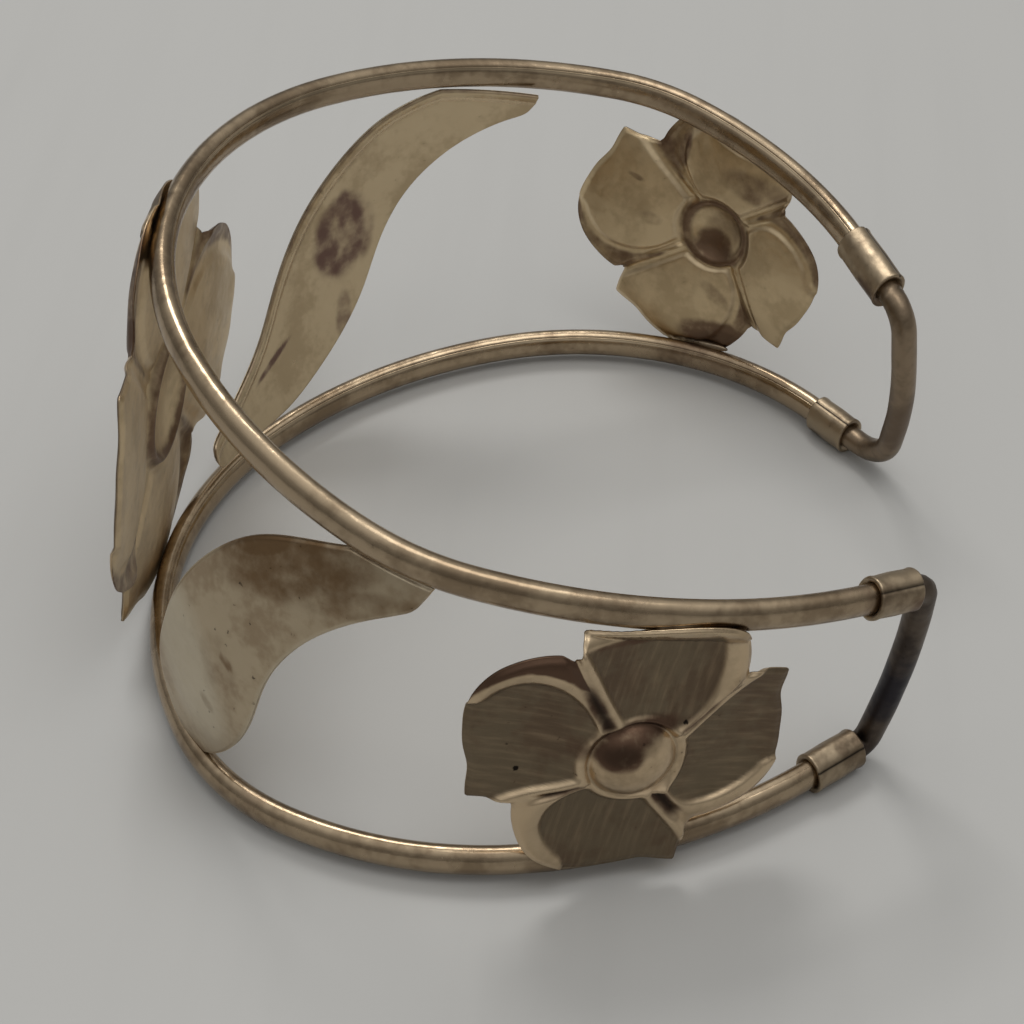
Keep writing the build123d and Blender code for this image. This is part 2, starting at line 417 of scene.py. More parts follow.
def stamped_skin(
    seat: Placing,
    shift: np.ndarray,
    sheet: np.ndarray,
    half_thickness: np.ndarray,
    grain: np.ndarray,
    masks: tuple[Masks, Masks],
    faces: tuple[list, list, list],
) -> Skin:
    """A thin sheet of metal with a finish on each side.

    Args:
        seat: plane that the sheet is drawn in.
        shift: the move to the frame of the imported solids.
        sheet: middle points of the sheet.
        half_thickness: half the thickness at each point.
        grain: brushing directions at each point.
        masks: what the finishes of the face and of the back read.
        faces: faces of the outer side, of the back and of the edge.

    Returns:
        The skin.
    """
    flat = np.zeros_like(half_thickness)
    thickness = np.column_stack([flat, flat, half_thickness])
    points = seat.place(np.vstack([sheet + thickness, sheet - thickness])) + shift
    both = {mask: np.concatenate([side[mask] for side in masks]) for mask in Mask}
    front, back, edge = faces
    finishes = [0] * len(front) + [1] * len(back) + [0] * len(edge)
    return Skin(points, front + back + edge, np.vstack([grain, grain]), both, finishes)


def make_piece(
    name: str,
    skin: Skin,
    finishes: Sequence[bpy.types.Material],
    slot: Slot,
    nodes: Sequence[str] = (),
) -> bpy.types.Object:
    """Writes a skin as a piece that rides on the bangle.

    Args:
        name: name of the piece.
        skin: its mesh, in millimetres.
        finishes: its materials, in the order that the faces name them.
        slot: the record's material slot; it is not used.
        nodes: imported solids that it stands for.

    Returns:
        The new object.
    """
    mesh = bpy.data.meshes.new(name)
    mesh.from_pydata((skin.points * MM).tolist(), [], skin.faces)
    for mask in Mask:
        values = skin.masks.get(mask, np.zeros(len(skin.points)))
        made = mesh.attributes.new(mask.value, "FLOAT", "POINT")
        made.data.foreach_set("value", values.astype(np.float32))
    grain = mesh.attributes.new(GRAIN, "FLOAT_VECTOR", "POINT")
    grain.data.foreach_set("vector", skin.grain.astype(np.float32).ravel())
    for finish in finishes:
        mesh.materials.append(finish)
    if skin.face_finish:
        mesh.polygons.foreach_set("material_index", skin.face_finish)
    mesh.polygons.foreach_set("use_smooth", [True] * len(mesh.polygons))
    mesh.update()
    piece = bpy.data.objects.new(name, mesh)
    bpy.context.scene.collection.objects.link(piece)
    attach(piece, BODY)
    if nodes:
        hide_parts(*nodes)
    log.info("%s: %d points, %d faces", name, len(skin.points), len(skin.faces))
    return piece


class Nodes:
    """A short way to write the nodes of a material."""

    def __init__(self, name: str) -> None:
        """Starts a material.

        Args:
            name: name of the material.
        """
        self.material = bpy.data.materials.new(name)
        self.material.use_nodes = True
        self.tree = self.material.node_tree
        self.tree.nodes.clear()
        self.shader = self.new("ShaderNodeBsdfPrincipled")
        output = self.new("ShaderNodeOutputMaterial")
        self.tree.links.new(self.shader.outputs["BSDF"], output.inputs["Surface"])

    def new(self, kind: str) -> bpy.types.Node:
        """A new node of that kind."""
        return self.tree.nodes.new(kind)

    def feed(self, socket: bpy.types.NodeSocket, source: object) -> None:
        """Links a source into a socket, or sets the socket to a number or colour."""
        if isinstance(source, bpy.types.NodeSocket):
            self.tree.links.new(source, socket)
        elif isinstance(source, tuple):
            socket.default_value = (*source, 1.0)
        else:
            socket.default_value = source

    def mask(self, mask: Mask) -> bpy.types.NodeSocket:
        """The value that the mesh holds for a mask."""
        node = self.new("ShaderNodeAttribute")
        node.attribute_name = mask.value
        return node.outputs["Fac"]

    def grain(self, along: float, across: float) -> bpy.types.NodeSocket:
        """The mesh's grain directions, stretched for streaks."""
        node = self.new("ShaderNodeAttribute")
        node.attribute_name = GRAIN
        return self.stretched(node.outputs["Vector"], (along, across, 1.0))

    def stretched(self, where: bpy.types.NodeSocket, scales: Triple) -> bpy.types.NodeSocket:
        """A place with its three coordinates scaled."""
        node = self.new("ShaderNodeMapping")
        node.inputs["Scale"].default_value = scales
        self.tree.links.new(where, node.inputs["Vector"])
        return node.outputs["Vector"]

    def place(self) -> bpy.types.NodeSocket:
        """Where a point of the surface is on the object."""
        return self.new("ShaderNodeTexCoord").outputs["Object"]

    def noise(self, where: bpy.types.NodeSocket, scale: float, detail: float = 3.0) -> bpy.types.NodeSocket:
        """Noise from 0 to 1 at a place."""
        node = self.new("ShaderNodeTexNoise")
        node.inputs["Scale"].default_value = scale
        node.inputs["Detail"].default_value = detail
        self.tree.links.new(where, node.inputs["Vector"])
        return node.outputs["Fac"]

    def math(self, operation: str, a: object, b: object) -> bpy.types.NodeSocket:
        """One step of arithmetic on two values."""
        node = self.new("ShaderNodeMath")
        node.operation = operation
        self.feed(node.inputs[0], a)
        self.feed(node.inputs[1], b)
        return node.outputs[0]

    def times(self, a: object, b: object) -> bpy.types.NodeSocket:
        """The product of two values."""
        return self.math("MULTIPLY", a, b)

    def plus(self, a: object, b: object) -> bpy.types.NodeSocket:
        """The sum of two values."""
        return self.math("ADD", a, b)

    def swing(self, noise: bpy.types.NodeSocket, width: float) -> bpy.types.NodeSocket:
        """Noise turned into a swing of that width about zero."""
        return self.times(self.math("SUBTRACT", noise, 0.5), width)

    def step(self, value: object, low: float, high: float) -> bpy.types.NodeSocket:
        """A smooth step from 0 at low to 1 at high."""
        node = self.new("ShaderNodeMapRange")
        node.interpolation_type = "SMOOTHSTEP"
        self.feed(node.inputs["Value"], value)
        node.inputs["From Min"].default_value = low
        node.inputs["From Max"].default_value = high
        return node.outputs["Result"]

    def mix(self, share: object, a: object, b: object) -> bpy.types.NodeSocket:
        """A colour between two others."""
        node = self.new("ShaderNodeMix")
        node.data_type = "RGBA"
        self.feed(node.inputs[0], share)
        self.feed(node.inputs[6], a)
        self.feed(node.inputs[7], b)
        return node.outputs[2]

    def blend(self, share: object, a: object, b: object) -> bpy.types.NodeSocket:
        """A number between two others."""
        node = self.new("ShaderNodeMix")
        self.feed(node.inputs[0], share)
        self.feed(node.inputs[2], a)
        self.feed(node.inputs[3], b)
        return node.outputs[0]

    def bump(self, height: bpy.types.NodeSocket, depth: float, below: object = None) -> bpy.types.NodeSocket:
        """Fine relief of the surface, with the depth in millimetres."""
        node = self.new("ShaderNodeBump")
        node.inputs["Distance"].default_value = depth * MM
        self.feed(node.inputs["Height"], height)
        if below is not None:
            self.feed(node.inputs["Normal"], below)
        return node.outputs["Normal"]


@dataclass(frozen=True)
class WornGold:
    """One worn gold surface: clean and aged metal, brushed floors, tarnish and painted shade, pale wear and
    painted highlights, dark grooves and pits.
    """

    name: str
    clean: Colour = (0.52, 0.395, 0.25)
    aged: Colour = (0.40, 0.295, 0.18)
    brushed: Colour = (0.19, 0.148, 0.098)
    stained_and_shaded: Colour = (0.12, 0.072, 0.048)
    pale_and_highlight: Colour = (0.62, 0.49, 0.33)
    dark: Colour = (0.018, 0.014, 0.011)
    roughness: float = 0.32
    polished_roughness: float = 0.15
    brushed_roughness: float = 0.48
    stain_and_shade_roughness: float = 0.40
    aged_share: Pair = (0.42, 0.66)
    streaks: float = 0.5
    pits: float = 0.5
    dents: float = 0.02
    brush_depth: float = 0.022

    CLOUDS = 230.0
    MOTTLE = 1500.0
    EDGES = 620.0
    DENTS = 420.0
    STREAKS = (0.28, 2.4)
    HAIRLINES = (0.6, 9.0)

    def material(self) -> bpy.types.Material:
        """The finish as a material with procedural colour, gloss and fine relief."""
        nodes = Nodes(self.name)
        place = nodes.place()
        clouds = nodes.noise(place, self.CLOUDS, 4.0)
        mottle = nodes.noise(place, self.MOTTLE, 3.0)
        edges = nodes.noise(place, self.EDGES, 4.0)
        streaks = nodes.noise(nodes.grain(*self.STREAKS), 1.0, 4.0)
        hairlines = nodes.noise(nodes.grain(*self.HAIRLINES), 1.0, 2.0)
        brushed, stain_and_shade = nodes.mask(Mask.BRUSHED), nodes.mask(Mask.STAIN_AND_SHADE)
        dark, pale_and_highlight = nodes.mask(Mask.DARK), nodes.mask(Mask.PALE_AND_HIGHLIGHT)

        worn = nodes.plus(clouds, nodes.swing(mottle, 0.35))
        colour = nodes.mix(nodes.step(worn, *self.aged_share), self.clean, self.aged)
        # Pale wear, and painted highlights where the pale mask marks them.
        colour = nodes.mix(pale_and_highlight, colour, self.pale_and_highlight)
        grime = nodes.times(nodes.step(worn, 0.40, 0.66), 0.5)
        rubbed = nodes.times(nodes.step(nodes.times(streaks, self.streaks), 0.20, 0.42), 0.34)
        floor = nodes.mix(rubbed, nodes.mix(grime, self.brushed, self.stained_and_shaded), self.aged)
        colour = nodes.mix(brushed, colour, floor)
        ragged = nodes.plus(nodes.plus(nodes.swing(edges, 1.5), nodes.swing(mottle, 0.4)), 1.0)
        # Stains and tarnish, and painted shade where the stain mask marks it.
        stained_and_shaded = nodes.step(nodes.times(stain_and_shade, ragged), 0.10, 0.85)
        colour = nodes.mix(stained_and_shaded, colour, self.stained_and_shaded)
        spots = nodes.times(nodes.step(mottle, 0.70, 0.76), self.pits)
        blackened = nodes.math("MAXIMUM", spots, nodes.step(dark, 0.15, 0.8))
        nodes.feed(nodes.shader.inputs["Base Color"], nodes.mix(blackened, colour, self.dark))

        nodes.shader.inputs["Metallic"].default_value = 1.0
        gloss = nodes.blend(pale_and_highlight, self.roughness, self.polished_roughness)
        gloss = nodes.blend(brushed, gloss, self.brushed_roughness)
        gloss = nodes.blend(stained_and_shaded, gloss, self.stain_and_shade_roughness)
        nodes.feed(nodes.shader.inputs["Roughness"], nodes.plus(gloss, nodes.swing(edges, 0.22)))

        lines = nodes.times(nodes.plus(streaks, hairlines), nodes.plus(brushed, 0.12))
        relief = nodes.bump(nodes.noise(place, self.DENTS, 2.0), self.dents * 6.0)
        relief = nodes.bump(mottle, self.dents, relief)
        nodes.feed(nodes.shader.inputs["Normal"], nodes.bump(lines, self.brush_depth, relief))
        return nodes.material


class Finishes:
    """The finishes of the bangle, made once."""

    def __init__(self) -> None:
        """Makes each finish."""
        self.rail = WornGold(
            "rail_gold",
            clean=(0.42, 0.325, 0.218),
            aged=(0.27, 0.2, 0.13),
            pale_and_highlight=(0.54, 0.44, 0.30),
            roughness=0.24,
            pits=0.2,
            streaks=0.4,
            dents=0.012,
        ).material()
        self.flower_face = WornGold(
            "flower_face_gold",
            clean=(0.60, 0.46, 0.30),
            aged=(0.44, 0.33, 0.21),
            roughness=0.33,
            polished_roughness=0.26,
        ).material()
        self.flower_back = WornGold(
            "flower_back_gold",
            clean=(0.67, 0.525, 0.325),
            aged=(0.54, 0.415, 0.25),
            stained_and_shaded=(0.19, 0.122, 0.078),
            roughness=0.36,
            polished_roughness=0.34,
            pits=0.2,
        ).material()
        self.leaf_face = WornGold(
            "leaf_face_gold",
            clean=(0.50, 0.41, 0.285),
            aged=(0.38, 0.29, 0.19),
            stained_and_shaded=(0.20, 0.125, 0.065),
            pale_and_highlight=(0.60, 0.535, 0.41),
            roughness=0.42,
            polished_roughness=0.40,
            stain_and_shade_roughness=0.38,
            pits=0.7,
        ).material()
        self.leaf_back = WornGold(
            "leaf_back_gold",
            clean=(0.66, 0.53, 0.345),
            aged=(0.52, 0.405, 0.255),
            stained_and_shaded=(0.20, 0.125, 0.10),
            roughness=0.33,
            pits=0.2,
        ).material()
        self.sleeve = WornGold(
            "sleeve_gold",
            clean=(0.38, 0.30, 0.205),
            aged=(0.21, 0.157, 0.105),
            roughness=0.40,
            dents=0.032,
            streaks=0.6,
        ).material()
        self.front_loop = WornGold(
            "front_loop_tarnish",
            clean=(0.115, 0.09, 0.07),
            aged=(0.055, 0.043, 0.036),
            stained_and_shaded=(0.034, 0.031, 0.036),
            roughness=0.42,
        ).material()
        self.back_loop = WornGold(
            "back_loop_gold",
            clean=(0.28, 0.212, 0.145),
            aged=(0.18, 0.135, 0.09),
            stained_and_shaded=(0.17, 0.125, 0.088),
            roughness=0.38,
        ).material()
        self.solder = WornGold(
            "solder",
            clean=(0.24, 0.19, 0.135),
            aged=(0.12, 0.088, 0.06),
            roughness=0.38,
        ).material()


def swept(
    centres: np.ndarray,
    ups: np.ndarray,
    section: np.ndarray,
    scales: np.ndarray,
) -> np.ndarray:
    """Points of a section swept along a path.

    Args:
        centres: points of the path.
        ups: the height direction at each point.
        section: points of the section, as (across, height).
        scales: size of the section at each point of the path.

    Returns:
        Rows of points, one row at each point of the path.
    """
    ways = np.gradient(centres, axis=0)
    ways /= np.linalg.norm(ways, axis=1)[:, None]
    sides = np.cross(ups, ways)
    sides /= np.linalg.norm(sides, axis=1)[:, None]
    ups = np.cross(ways, sides)
    rows = [
        centre + scale * (section[:, :1] * side + section[:, 1:] * up)
        for centre, side, up, scale in zip(centres, sides, ups, scales)
    ]
    return np.vstack(rows)


@dataclass(frozen=True)
class Spot:
    """A mark on a flat pattern: its middle, half sizes, turn in degrees and strength."""

    x: float
    y: float
    half_length: float
    half_width: float
    turn: float
    strength: float
    mask: Mask = Mask.STAIN_AND_SHADE
    hollow: float = 0.0

    def reach(self, x: np.ndarray, y: np.ndarray) -> np.ndarray:
        """Strength of the mark at points of the pattern."""
        c, s = math.cos(math.radians(self.turn)), math.sin(math.radians(self.turn))
        along = ((x - self.x) * c + (y - self.y) * s) / self.half_length
        across = ((y - self.y) * c - (x - self.x) * s) / self.half_width
        far = np.sqrt(along**2 + across**2)
        mark = 1.0 - ease(far, 0.55, 1.25)
        return self.strength * mark * (1.0 - self.hollow * (1.0 - ease(far, 0.2, 0.8)))


def marked(masks: Masks, spots: Sequence[Spot], x: np.ndarray, y: np.ndarray) -> None:
    """Adds marks to the masks of a pattern.

    Args:
        masks: masks to add to.
        spots: the marks.
        x: first coordinates of the points.
        y: second coordinates of the points.
    """
    for spot in spots:
        held = masks.setdefault(spot.mask, np.zeros(len(x)))
        masks[spot.mask] = np.clip(np.maximum(held, spot.reach(x, y)), 0.0, 1.0)


@dataclass(frozen=True)
class Rail:
    """One seamed rail: a tube of oval section, bent from strip, with its seam on the upper inner side."""

    node: str
    back: HalfRail
    front: HalfRail
    seam: float = 128.0
    seam_depth: float = 0.05
    flat_bearing: float = 8.0
    flat_depth: float = 0.022
    unevenness: float = 0.006
    strip: float = 13.0
    step: float = 0.6
    burns: Sequence[Triple] = ()

    def section(self) -> tuple[np.ndarray, np.ndarray]:
        """Points round the tube and their angles, closer together at the seam."""
        near = self.seam + np.array([-9, -5, -2.6, -1.2, 0, 1.2, 2.6, 5, 9, self.strip, self.strip + 4])
        rest = self.seam + np.arange(self.strip + 12, 350, 9.0)
        angles = np.concatenate([near, rest])
        turned = np.radians(angles)
        from_seam = angles - self.seam
        depth = self.seam_depth * bell(from_seam, 0.0, 1.6)
        flat = self.flat_depth * bell(from_seam, self.flat_bearing, 4.0)
        across = (RAIL_THICKNESS / 2 - depth - flat) * np.cos(turned)
        height = (RAIL_HEIGHT / 2 - depth - flat) * np.sin(turned)
        return np.column_stack([across, height]), angles

    def build(self, layout: Layout, finishes: Finishes) -> bpy.types.Object:
        """Makes the rail as one tube from its back end to its front end."""
        section, angles = self.section()
        back = [self.back.at(s)[0] for s in np.arange(self.back.length, self.step / 2, -self.step)]
        front = [self.front.at(s)[0] for s in np.arange(0.0, self.front.length, self.step)]
        centres = np.array(back + front + [self.front.at(self.front.length)[0]])
        ups = np.tile(self.back.plane.z, (len(centres), 1))
        flipped = section * np.array([-1.0, 1.0])
        rough = 1.0 + self.unevenness * wave(centres, 9.0, 1.3)
        points = swept(centres, ups, flipped, rough)
        rows, columns = len(centres), len(section)
        along = np.repeat(np.arange(rows) * self.step, columns)
        around = np.tile(np.radians(angles) * RAIL_HEIGHT / 2, rows)
        from_seam = np.tile(np.abs(angles - self.seam), rows)
        painted_highlight = np.tile(bell(angles - self.seam, self.flat_bearing, 4.5), rows)
        from_below = np.abs((angles - 90.0) % 360 - 180.0)
        masks = {
            Mask.DARK: 0.5 * bell(from_seam, 0.0, 1.5),
            # A painted highlight: a pale band along the flat beside the seam.
            Mask.PALE_AND_HIGHLIGHT: 0.6 * painted_highlight,
            # Painted shade on the rail's underside.
            Mask.STAIN_AND_SHADE: np.tile(0.55 * (1 - ease(from_below, 25, 80)), rows),
        }
        for middle, spread, strength in self.burns:
            burn = strength * bell(along, self.back.length + middle, spread)
            masks[Mask.STAIN_AND_SHADE] = np.maximum(masks[Mask.STAIN_AND_SHADE], burn)
        grain = np.column_stack([along, around, np.zeros(rows * columns)])
        skin = Skin(points + layout.shift, tube_faces(rows, columns), grain, masks)
        return make_piece(f"{self.node}_tube", skin, [finishes.rail], Slot.RAIL, [self.node])


@dataclass(frozen=True)
class Sleeve:
    """A short tube crimped over the end of a rail and of a loop."""

    node: str
    half: HalfRail
    length: float
    bore_clearance: float = 0.06
    wall: float = 0.35
    loop_wire: float = 1.9
    crimp: float = 0.07
    lip: float = 0.16
    seam_depth: float = 0.06
    seam_bearing: float = 100.0
    facets: int = 7
    facet_depth: float = 0.012
    twist: float = 0.0
    stains: Sequence[Triple] = ()
    sides: int = 56

    def build(self, layout: Layout, finishes: Finishes) -> bpy.types.Object:
        """Makes the sleeve with rolled ends, a lengthwise seam and painted shade in its bore."""
        end, way = self.half.at(self.half.length)
        up = self.half.plane.z
        side = np.cross(up, way)
        bore = np.array([max(RAIL_THICKNESS, self.loop_wire), max(RAIL_HEIGHT, self.loop_wire)]) / 2
        bore = bore + self.bore_clearance
        outer = bore + self.wall
        half, lip = self.length / 2, self.lip
        profile = [
            (-half + 0.3, -0.45),
            (-half + 0.06, 0.02),
            (-half, 0.35),
            (-half, 0.72),
            (-half + lip * 0.4, 0.95),
            (-half + lip, 1.0),
            (-half + 3 * lip, 1.0 - 2 * self.crimp),
            (-half / 3, 1.0 - self.crimp),
            (0.0, 1.0 - 0.4 * self.crimp),
            (half / 3, 1.0 - self.crimp),
            (half - 3 * lip, 1.0 - 2 * self.crimp),
            (half - lip, 1.0),
            (half - lip * 0.4, 0.95),
            (half, 0.72),
            (half, 0.35),
            (half - 0.06, 0.02),
            (half - 0.3, -0.95),
        ]
        angles, zeros = round_angles(self.sides), np.zeros(self.sides)
        rows, grain, dark, stain_and_shade = [], [], [], []
        for along, share in profile:
            radii = bore + (outer - bore) * share
            outside = share > 0.5
            seam = bell(np.degrees(angles), self.seam_bearing + self.twist, 5.0) * outside
            push = self.facet_depth * np.cos(self.facets * angles + self.twist) * outside
            push = push - self.seam_depth * seam
            across, height = (radii[0] + push) * np.cos(angles), (radii[1] + push) * np.sin(angles)
            rows.append(end + way * along + across[:, None] * side + height[:, None] * up)
            grain.append(np.column_stack([zeros + along, angles * outer[1], zeros]))
            # Painted shade on the bore's inner rows, and a dark line along the seam.
            dark.append(np.maximum(0.55 if share < 0.0 else 0.0, 0.8 * seam))
            mark = zeros
            for place, bearing, strength in self.stains:
                turned = np.abs((np.degrees(angles) - bearing + 180) % 360 - 180)
                near = bell(along, place * half, 0.45 * half)
                mark = np.maximum(mark, strength * near * (1 - ease(turned, 25, 70)))
            stain_and_shade.append(mark)
        masks = {Mask.DARK: np.concatenate(dark), Mask.STAIN_AND_SHADE: np.concatenate(stain_and_shade)}
        faces = grid_faces(len(profile), self.sides, True, flip=True)
        skin = Skin(np.vstack(rows) + layout.shift, faces, np.vstack(grain), masks)
        return make_piece(f"{self.node}_tube", skin, [finishes.sleeve], Slot.SLEEVE, [self.node])


@dataclass(frozen=True)
class EndLoop:
    """A bent wire that joins the ends of the two rails."""

    node: str
    upper: HalfRail
    lower: HalfRail
    sleeve_lengths: Pair
    bends: Triple
    belly: float
    wire: float = 1.9
    end_gap: float = 0.3
    unevenness: float = 0.012
    step: float = 0.35
    sides: int = 40

    def run(self) -> np.ndarray:
        """Points of the wire's path: straight runs joined by round bends."""
        high, high_way = self.upper.at(self.upper.length)
        low, low_way = self.lower.at(self.lower.length)
        high_corner = high + high_way * (self.sleeve_lengths[0] / 2 + self.bends[0])
        low_corner = low + low_way * (self.sleeve_lengths[1] / 2 + self.bends[2])
        middle = (high_corner + low_corner) / 2 + unit(high_way + low_way) * self.belly
        first_end, last_end = high + high_way * self.end_gap, low + low_way * self.end_gap
        stops = [first_end, high_corner, middle, low_corner, last_end]
        points = [stops[0]]
        for before, corner, after, radius in zip(stops, stops[1:], stops[2:], self.bends):
            back, on = unit(before - corner), unit(after - corner)
            half_angle = math.acos(np.clip(back @ on, -1, 1)) / 2
            cut = radius / math.tan(half_angle)
            inward = unit(back + on)
            centre = corner + inward * radius / math.sin(half_angle)
            first, last = corner + back * cut - centre, corner + on * cut - centre
            sweep = math.acos(np.clip(unit(first) @ unit(last), -1, 1))
            for share in np.linspace(0, 1, 14):
                arm = math.sin((1 - share) * sweep) * first + math.sin(share * sweep) * last
                points.append(centre + arm / math.sin(sweep))
        points = np.array(points + [last_end])
        length = runs_along(points)[-1]
        return points_at(points, np.linspace(0, length, int(length / self.step) + 1))

    def build(self, layout: Layout, finish: bpy.types.Material) -> bpy.types.Object:
        """Makes the loop as one wire."""
        centres = self.run()
        ways = np.gradient(centres, axis=0)
        ups = np.tile(unit(np.cross(self.upper.plane.z, centres[-1] - centres[0])), (len(centres), 1))
        ups = np.cross(ways, np.cross(ups, ways))
        angles = round_angles(self.sides)
        section = np.column_stack([np.cos(angles), np.sin(angles)]) * self.wire / 2
        uneven = 1.0 + self.unevenness * wave(centres, 4.0, 0.6)
        points = swept(centres, ups, section, uneven)
        rows = len(centres)
        along = np.repeat(np.arange(rows) * self.step, self.sides)
        around = np.tile(angles * self.wire / 2, rows)
        share = np.repeat(np.linspace(0, 1, rows), self.sides)
        masks = {Mask.STAIN_AND_SHADE: 0.75 * ease(share, 0.30, 0.55) * (1 - ease(share, 0.62, 0.86))}
        grain = np.column_stack([along, around, np.zeros(rows * self.sides)])
        skin = Skin(points + layout.shift, tube_faces(rows, self.sides), grain, masks)
        return make_piece(f"{self.node}_wire", skin, [finish], Slot.LOOP, [self.node])


@dataclass(frozen=True)
class PetalOutline:
    """The edge of one petal: two arcs and a short straight end, in shares of the reach and degrees."""

    notch: Pair = (0.80, 0)
    shoulder: Pair = (0.962, 16.5)
    corner: Pair = (1.085, 34.5)
    side: Pair = (0.985, 61)
    tip: Pair = (1.025, 80)
    last_notch: Pair = (0.80, 90)
    rounding: float = 13.0
    hollow: float = 0.028

    @staticmethod
    def point(mark: Pair) -> np.ndarray:
        """A mark of the outline as a flat point."""
        return mark[0] * np.array([math.cos(math.radians(mark[1])), math.sin(math.radians(mark[1]))])

    def arc_radius(self, marks: Sequence[Pair], bearings: np.ndarray) -> np.ndarray:
        """How far out the arc through three marks is, at some bearings."""
        a, b, c = (self.point(mark) for mark in marks)
        centre = circle_centre(a, b, c)
        radius = np.linalg.norm(a - centre)
        ahead = rays(bearings) @ centre
        return ahead + np.sqrt(np.maximum(radius**2 - (centre @ centre - ahead**2), 0.0))

    def sharp(self, bearings: np.ndarray) -> np.ndarray:
        """How far out the arcs of the petal's edge are, at bearings past its notch."""
        first = self.arc_radius((self.notch, self.shoulder, self.corner), bearings)
        second = self.arc_radius((self.corner, self.side, self.tip), bearings)
        tip, last = self.point(self.tip), self.point(self.last_notch)
        normal = np.array([tip[1] - last[1], last[0] - tip[0]])
        straight = (tip @ normal) / (rays(bearings) @ normal)
        out = np.where(bearings < self.corner[1], first, second)
        return np.where(bearings > self.tip[1], straight, out)

    def radius(self, bearings: np.ndarray) -> np.ndarray:
        """How far out the petal's edge is, with a round shoulder and a hooked tip."""
        near = 1.0 - ease(bearings, self.tip[1] - 16.0, self.tip[1] - 2.0)
        near = near * ease(bearings, 0.0, self.rounding)
        offsets = np.linspace(-self.rounding, self.rounding, 17)
        rounded = np.mean([self.sharp(bearings + near * offset) for offset in offsets], axis=0)
        return rounded - self.hollow * bell(bearings, self.tip[1] - 12.0, 7.0)


@dataclass(frozen=True)
class Flower:
    """A stamped flower: four dished petals with raised borders and rolled shoulders, round a hollow boss."""

    node: str
    seat: Placing
    spacing: float
    lap: float
    turn: float
    bend: float
    dish_share: float
    face_spots: Sequence[Spot] = ()
    back_spots: Sequence[Spot] = ()
    shoulder_stains: Sequence[float] = (0.2, 0.2, 0.2, 0.2)
    folded_top: float = 0.0
    fold_slope: float = 0.18
    fold_pull: float = 0.55
    curl: float = 0.9
    curl_start: float = 1.8
    outline: PetalOutline = PetalOutline()
    petals: int = 4
    middle: Pair = (0.55, 47)
    floor_middle: Pair = (0.594, 47)
    floor_radius: float = 0.415
    boss: float = 0.265
    boss_base: float = 0.105
    boss_height: float = 0.135
    boss_roundness: float = 0.8
    ring_gap: float = 0.014
    ring_width: float = 0.012
    ring_depth: float = 0.011
    hub: float = 0.305
    hub_shift: Pair = (0.0, 0.0)
    border: float = 0.05
    border_height: float = 0.03
    groove_depth: float = 0.035
    shoulder_roll: float = 3.2
    unevenness: float = 0.05
    edge_start: float = 0.955
    edge_rounding: float = 0.72
    columns: int = 96

    @property
    def reach(self) -> float:
        """Radius that the petals' shares are taken of."""
        return self.spacing / 2 + self.lap

    @property
    def ring(self) -> float:
        """Radius of the pressed ring round the boss, in shares of the reach."""
        return self.boss + self.ring_gap

    @property
    def fold(self) -> float:
        """Height at which the top starts to fold back, in millimetres."""
        return self.spacing / 2 - self.folded_top

    def floor_edge(self, r: np.ndarray, u: np.ndarray) -> np.ndarray:
        """How far inside the brushed floor a point is, in shares of the reach."""
        far, bearing = self.floor_middle
        from_middle = np.sqrt(r**2 + far**2 - 2 * r * far * np.cos(np.radians(u - bearing)))
        open_side = 0.6 * ease(u, 36.0, 56.0) * ease(r, 0.45, 0.62)
        round_edge = self.floor_radius - from_middle + open_side
        end_edge = r * np.cos(np.radians(u)) - self.border
        inside = soft_least(round_edge, end_edge, 0.03)
        return soft_least(inside, r - self.hub, 0.03)

    def groove(self, r: np.ndarray, u: np.ndarray, half_width: float = 0.024) -> np.ndarray:
        """Strength of the dark groove between two petals."""
        nearest = np.minimum(np.abs(r * np.sin(np.radians(u))), np.abs(r * np.cos(np.radians(u))))
        length = ease(r, 0.29, 0.35) * (1.0 - ease(r, 0.52, 0.72))
        return bell(nearest, 0.0, half_width) * length

    def flat(self, r: np.ndarray, bearing: np.ndarray) -> tuple[np.ndarray, np.ndarray]:
        """Points of the flat pattern in millimetres, with its hub moved off the middle."""
        share = 1.0 - ease(r, 0.25, 0.95)
        x = r * self.reach * np.cos(bearing) + self.hub_shift[0] * share
        return x, r * self.reach * np.sin(bearing) + self.hub_shift[1] * share

    def petal_points(self, r: np.ndarray, u: np.ndarray, petal: np.ndarray) -> np.ndarray:
        """The middle of the sheet on the petals, in the seat's frame.

        Args:
            r: distances from the flower's middle, in shares of the reach.
            u: bearings past the petal's notch.
            petal: number of each point's petal.

        Returns:
            The points, in millimetres.
        """
        reach = self.reach
        start = self.turn + 360.0 / self.petals * petal
        bearing = np.radians(start + u)
        x, y = self.flat(r, bearing)
        middle_bearing = np.radians(start + self.middle[1])
        from_hub = self.middle[0] * reach
        mx, my = from_hub * np.cos(middle_bearing), from_hub * np.sin(middle_bearing)
        dish = self.dish_share * reach
        lowest = RAIL_THICKNESS / 2 + SEAT_GAP - (self.spacing / 2 - from_hub) ** 2 / (2 * dish)
        bowl = dish - SHEET / 2
        off = (x - mx) ** 2 + (y - my) ** 2
        height = lowest + dish - np.sqrt(np.maximum(bowl**2 - off, 0.01))

        inside = self.floor_edge(r, u)
        height += self.border_height * reach * (1.0 - ease(inside, 0.0, self.border))
        height -= self.shoulder_roll * reach * np.maximum(-inside - 0.02, 0.0) ** 2
        height -= self.groove_depth * reach * self.groove(r, u)
        if self.folded_top:
            over = np.maximum(y - self.fold, 0.0)
            height -= self.fold_slope * over**2 + self.curl * np.maximum(over - self.curl_start, 0.0) ** 2
            y = y - self.fold_pull * over**2 / (over + 0.8)
        tilt = mx / self.bend
        drop = self.bend * (1 - np.cos(tilt))
        px = x - self.bend * np.sin(tilt)
        return np.column_stack([
            self.bend * np.sin(tilt) + px * np.cos(tilt) + height * np.sin(tilt),
            y,
            -drop - px * np.sin(tilt) + height * np.cos(tilt),
        ])

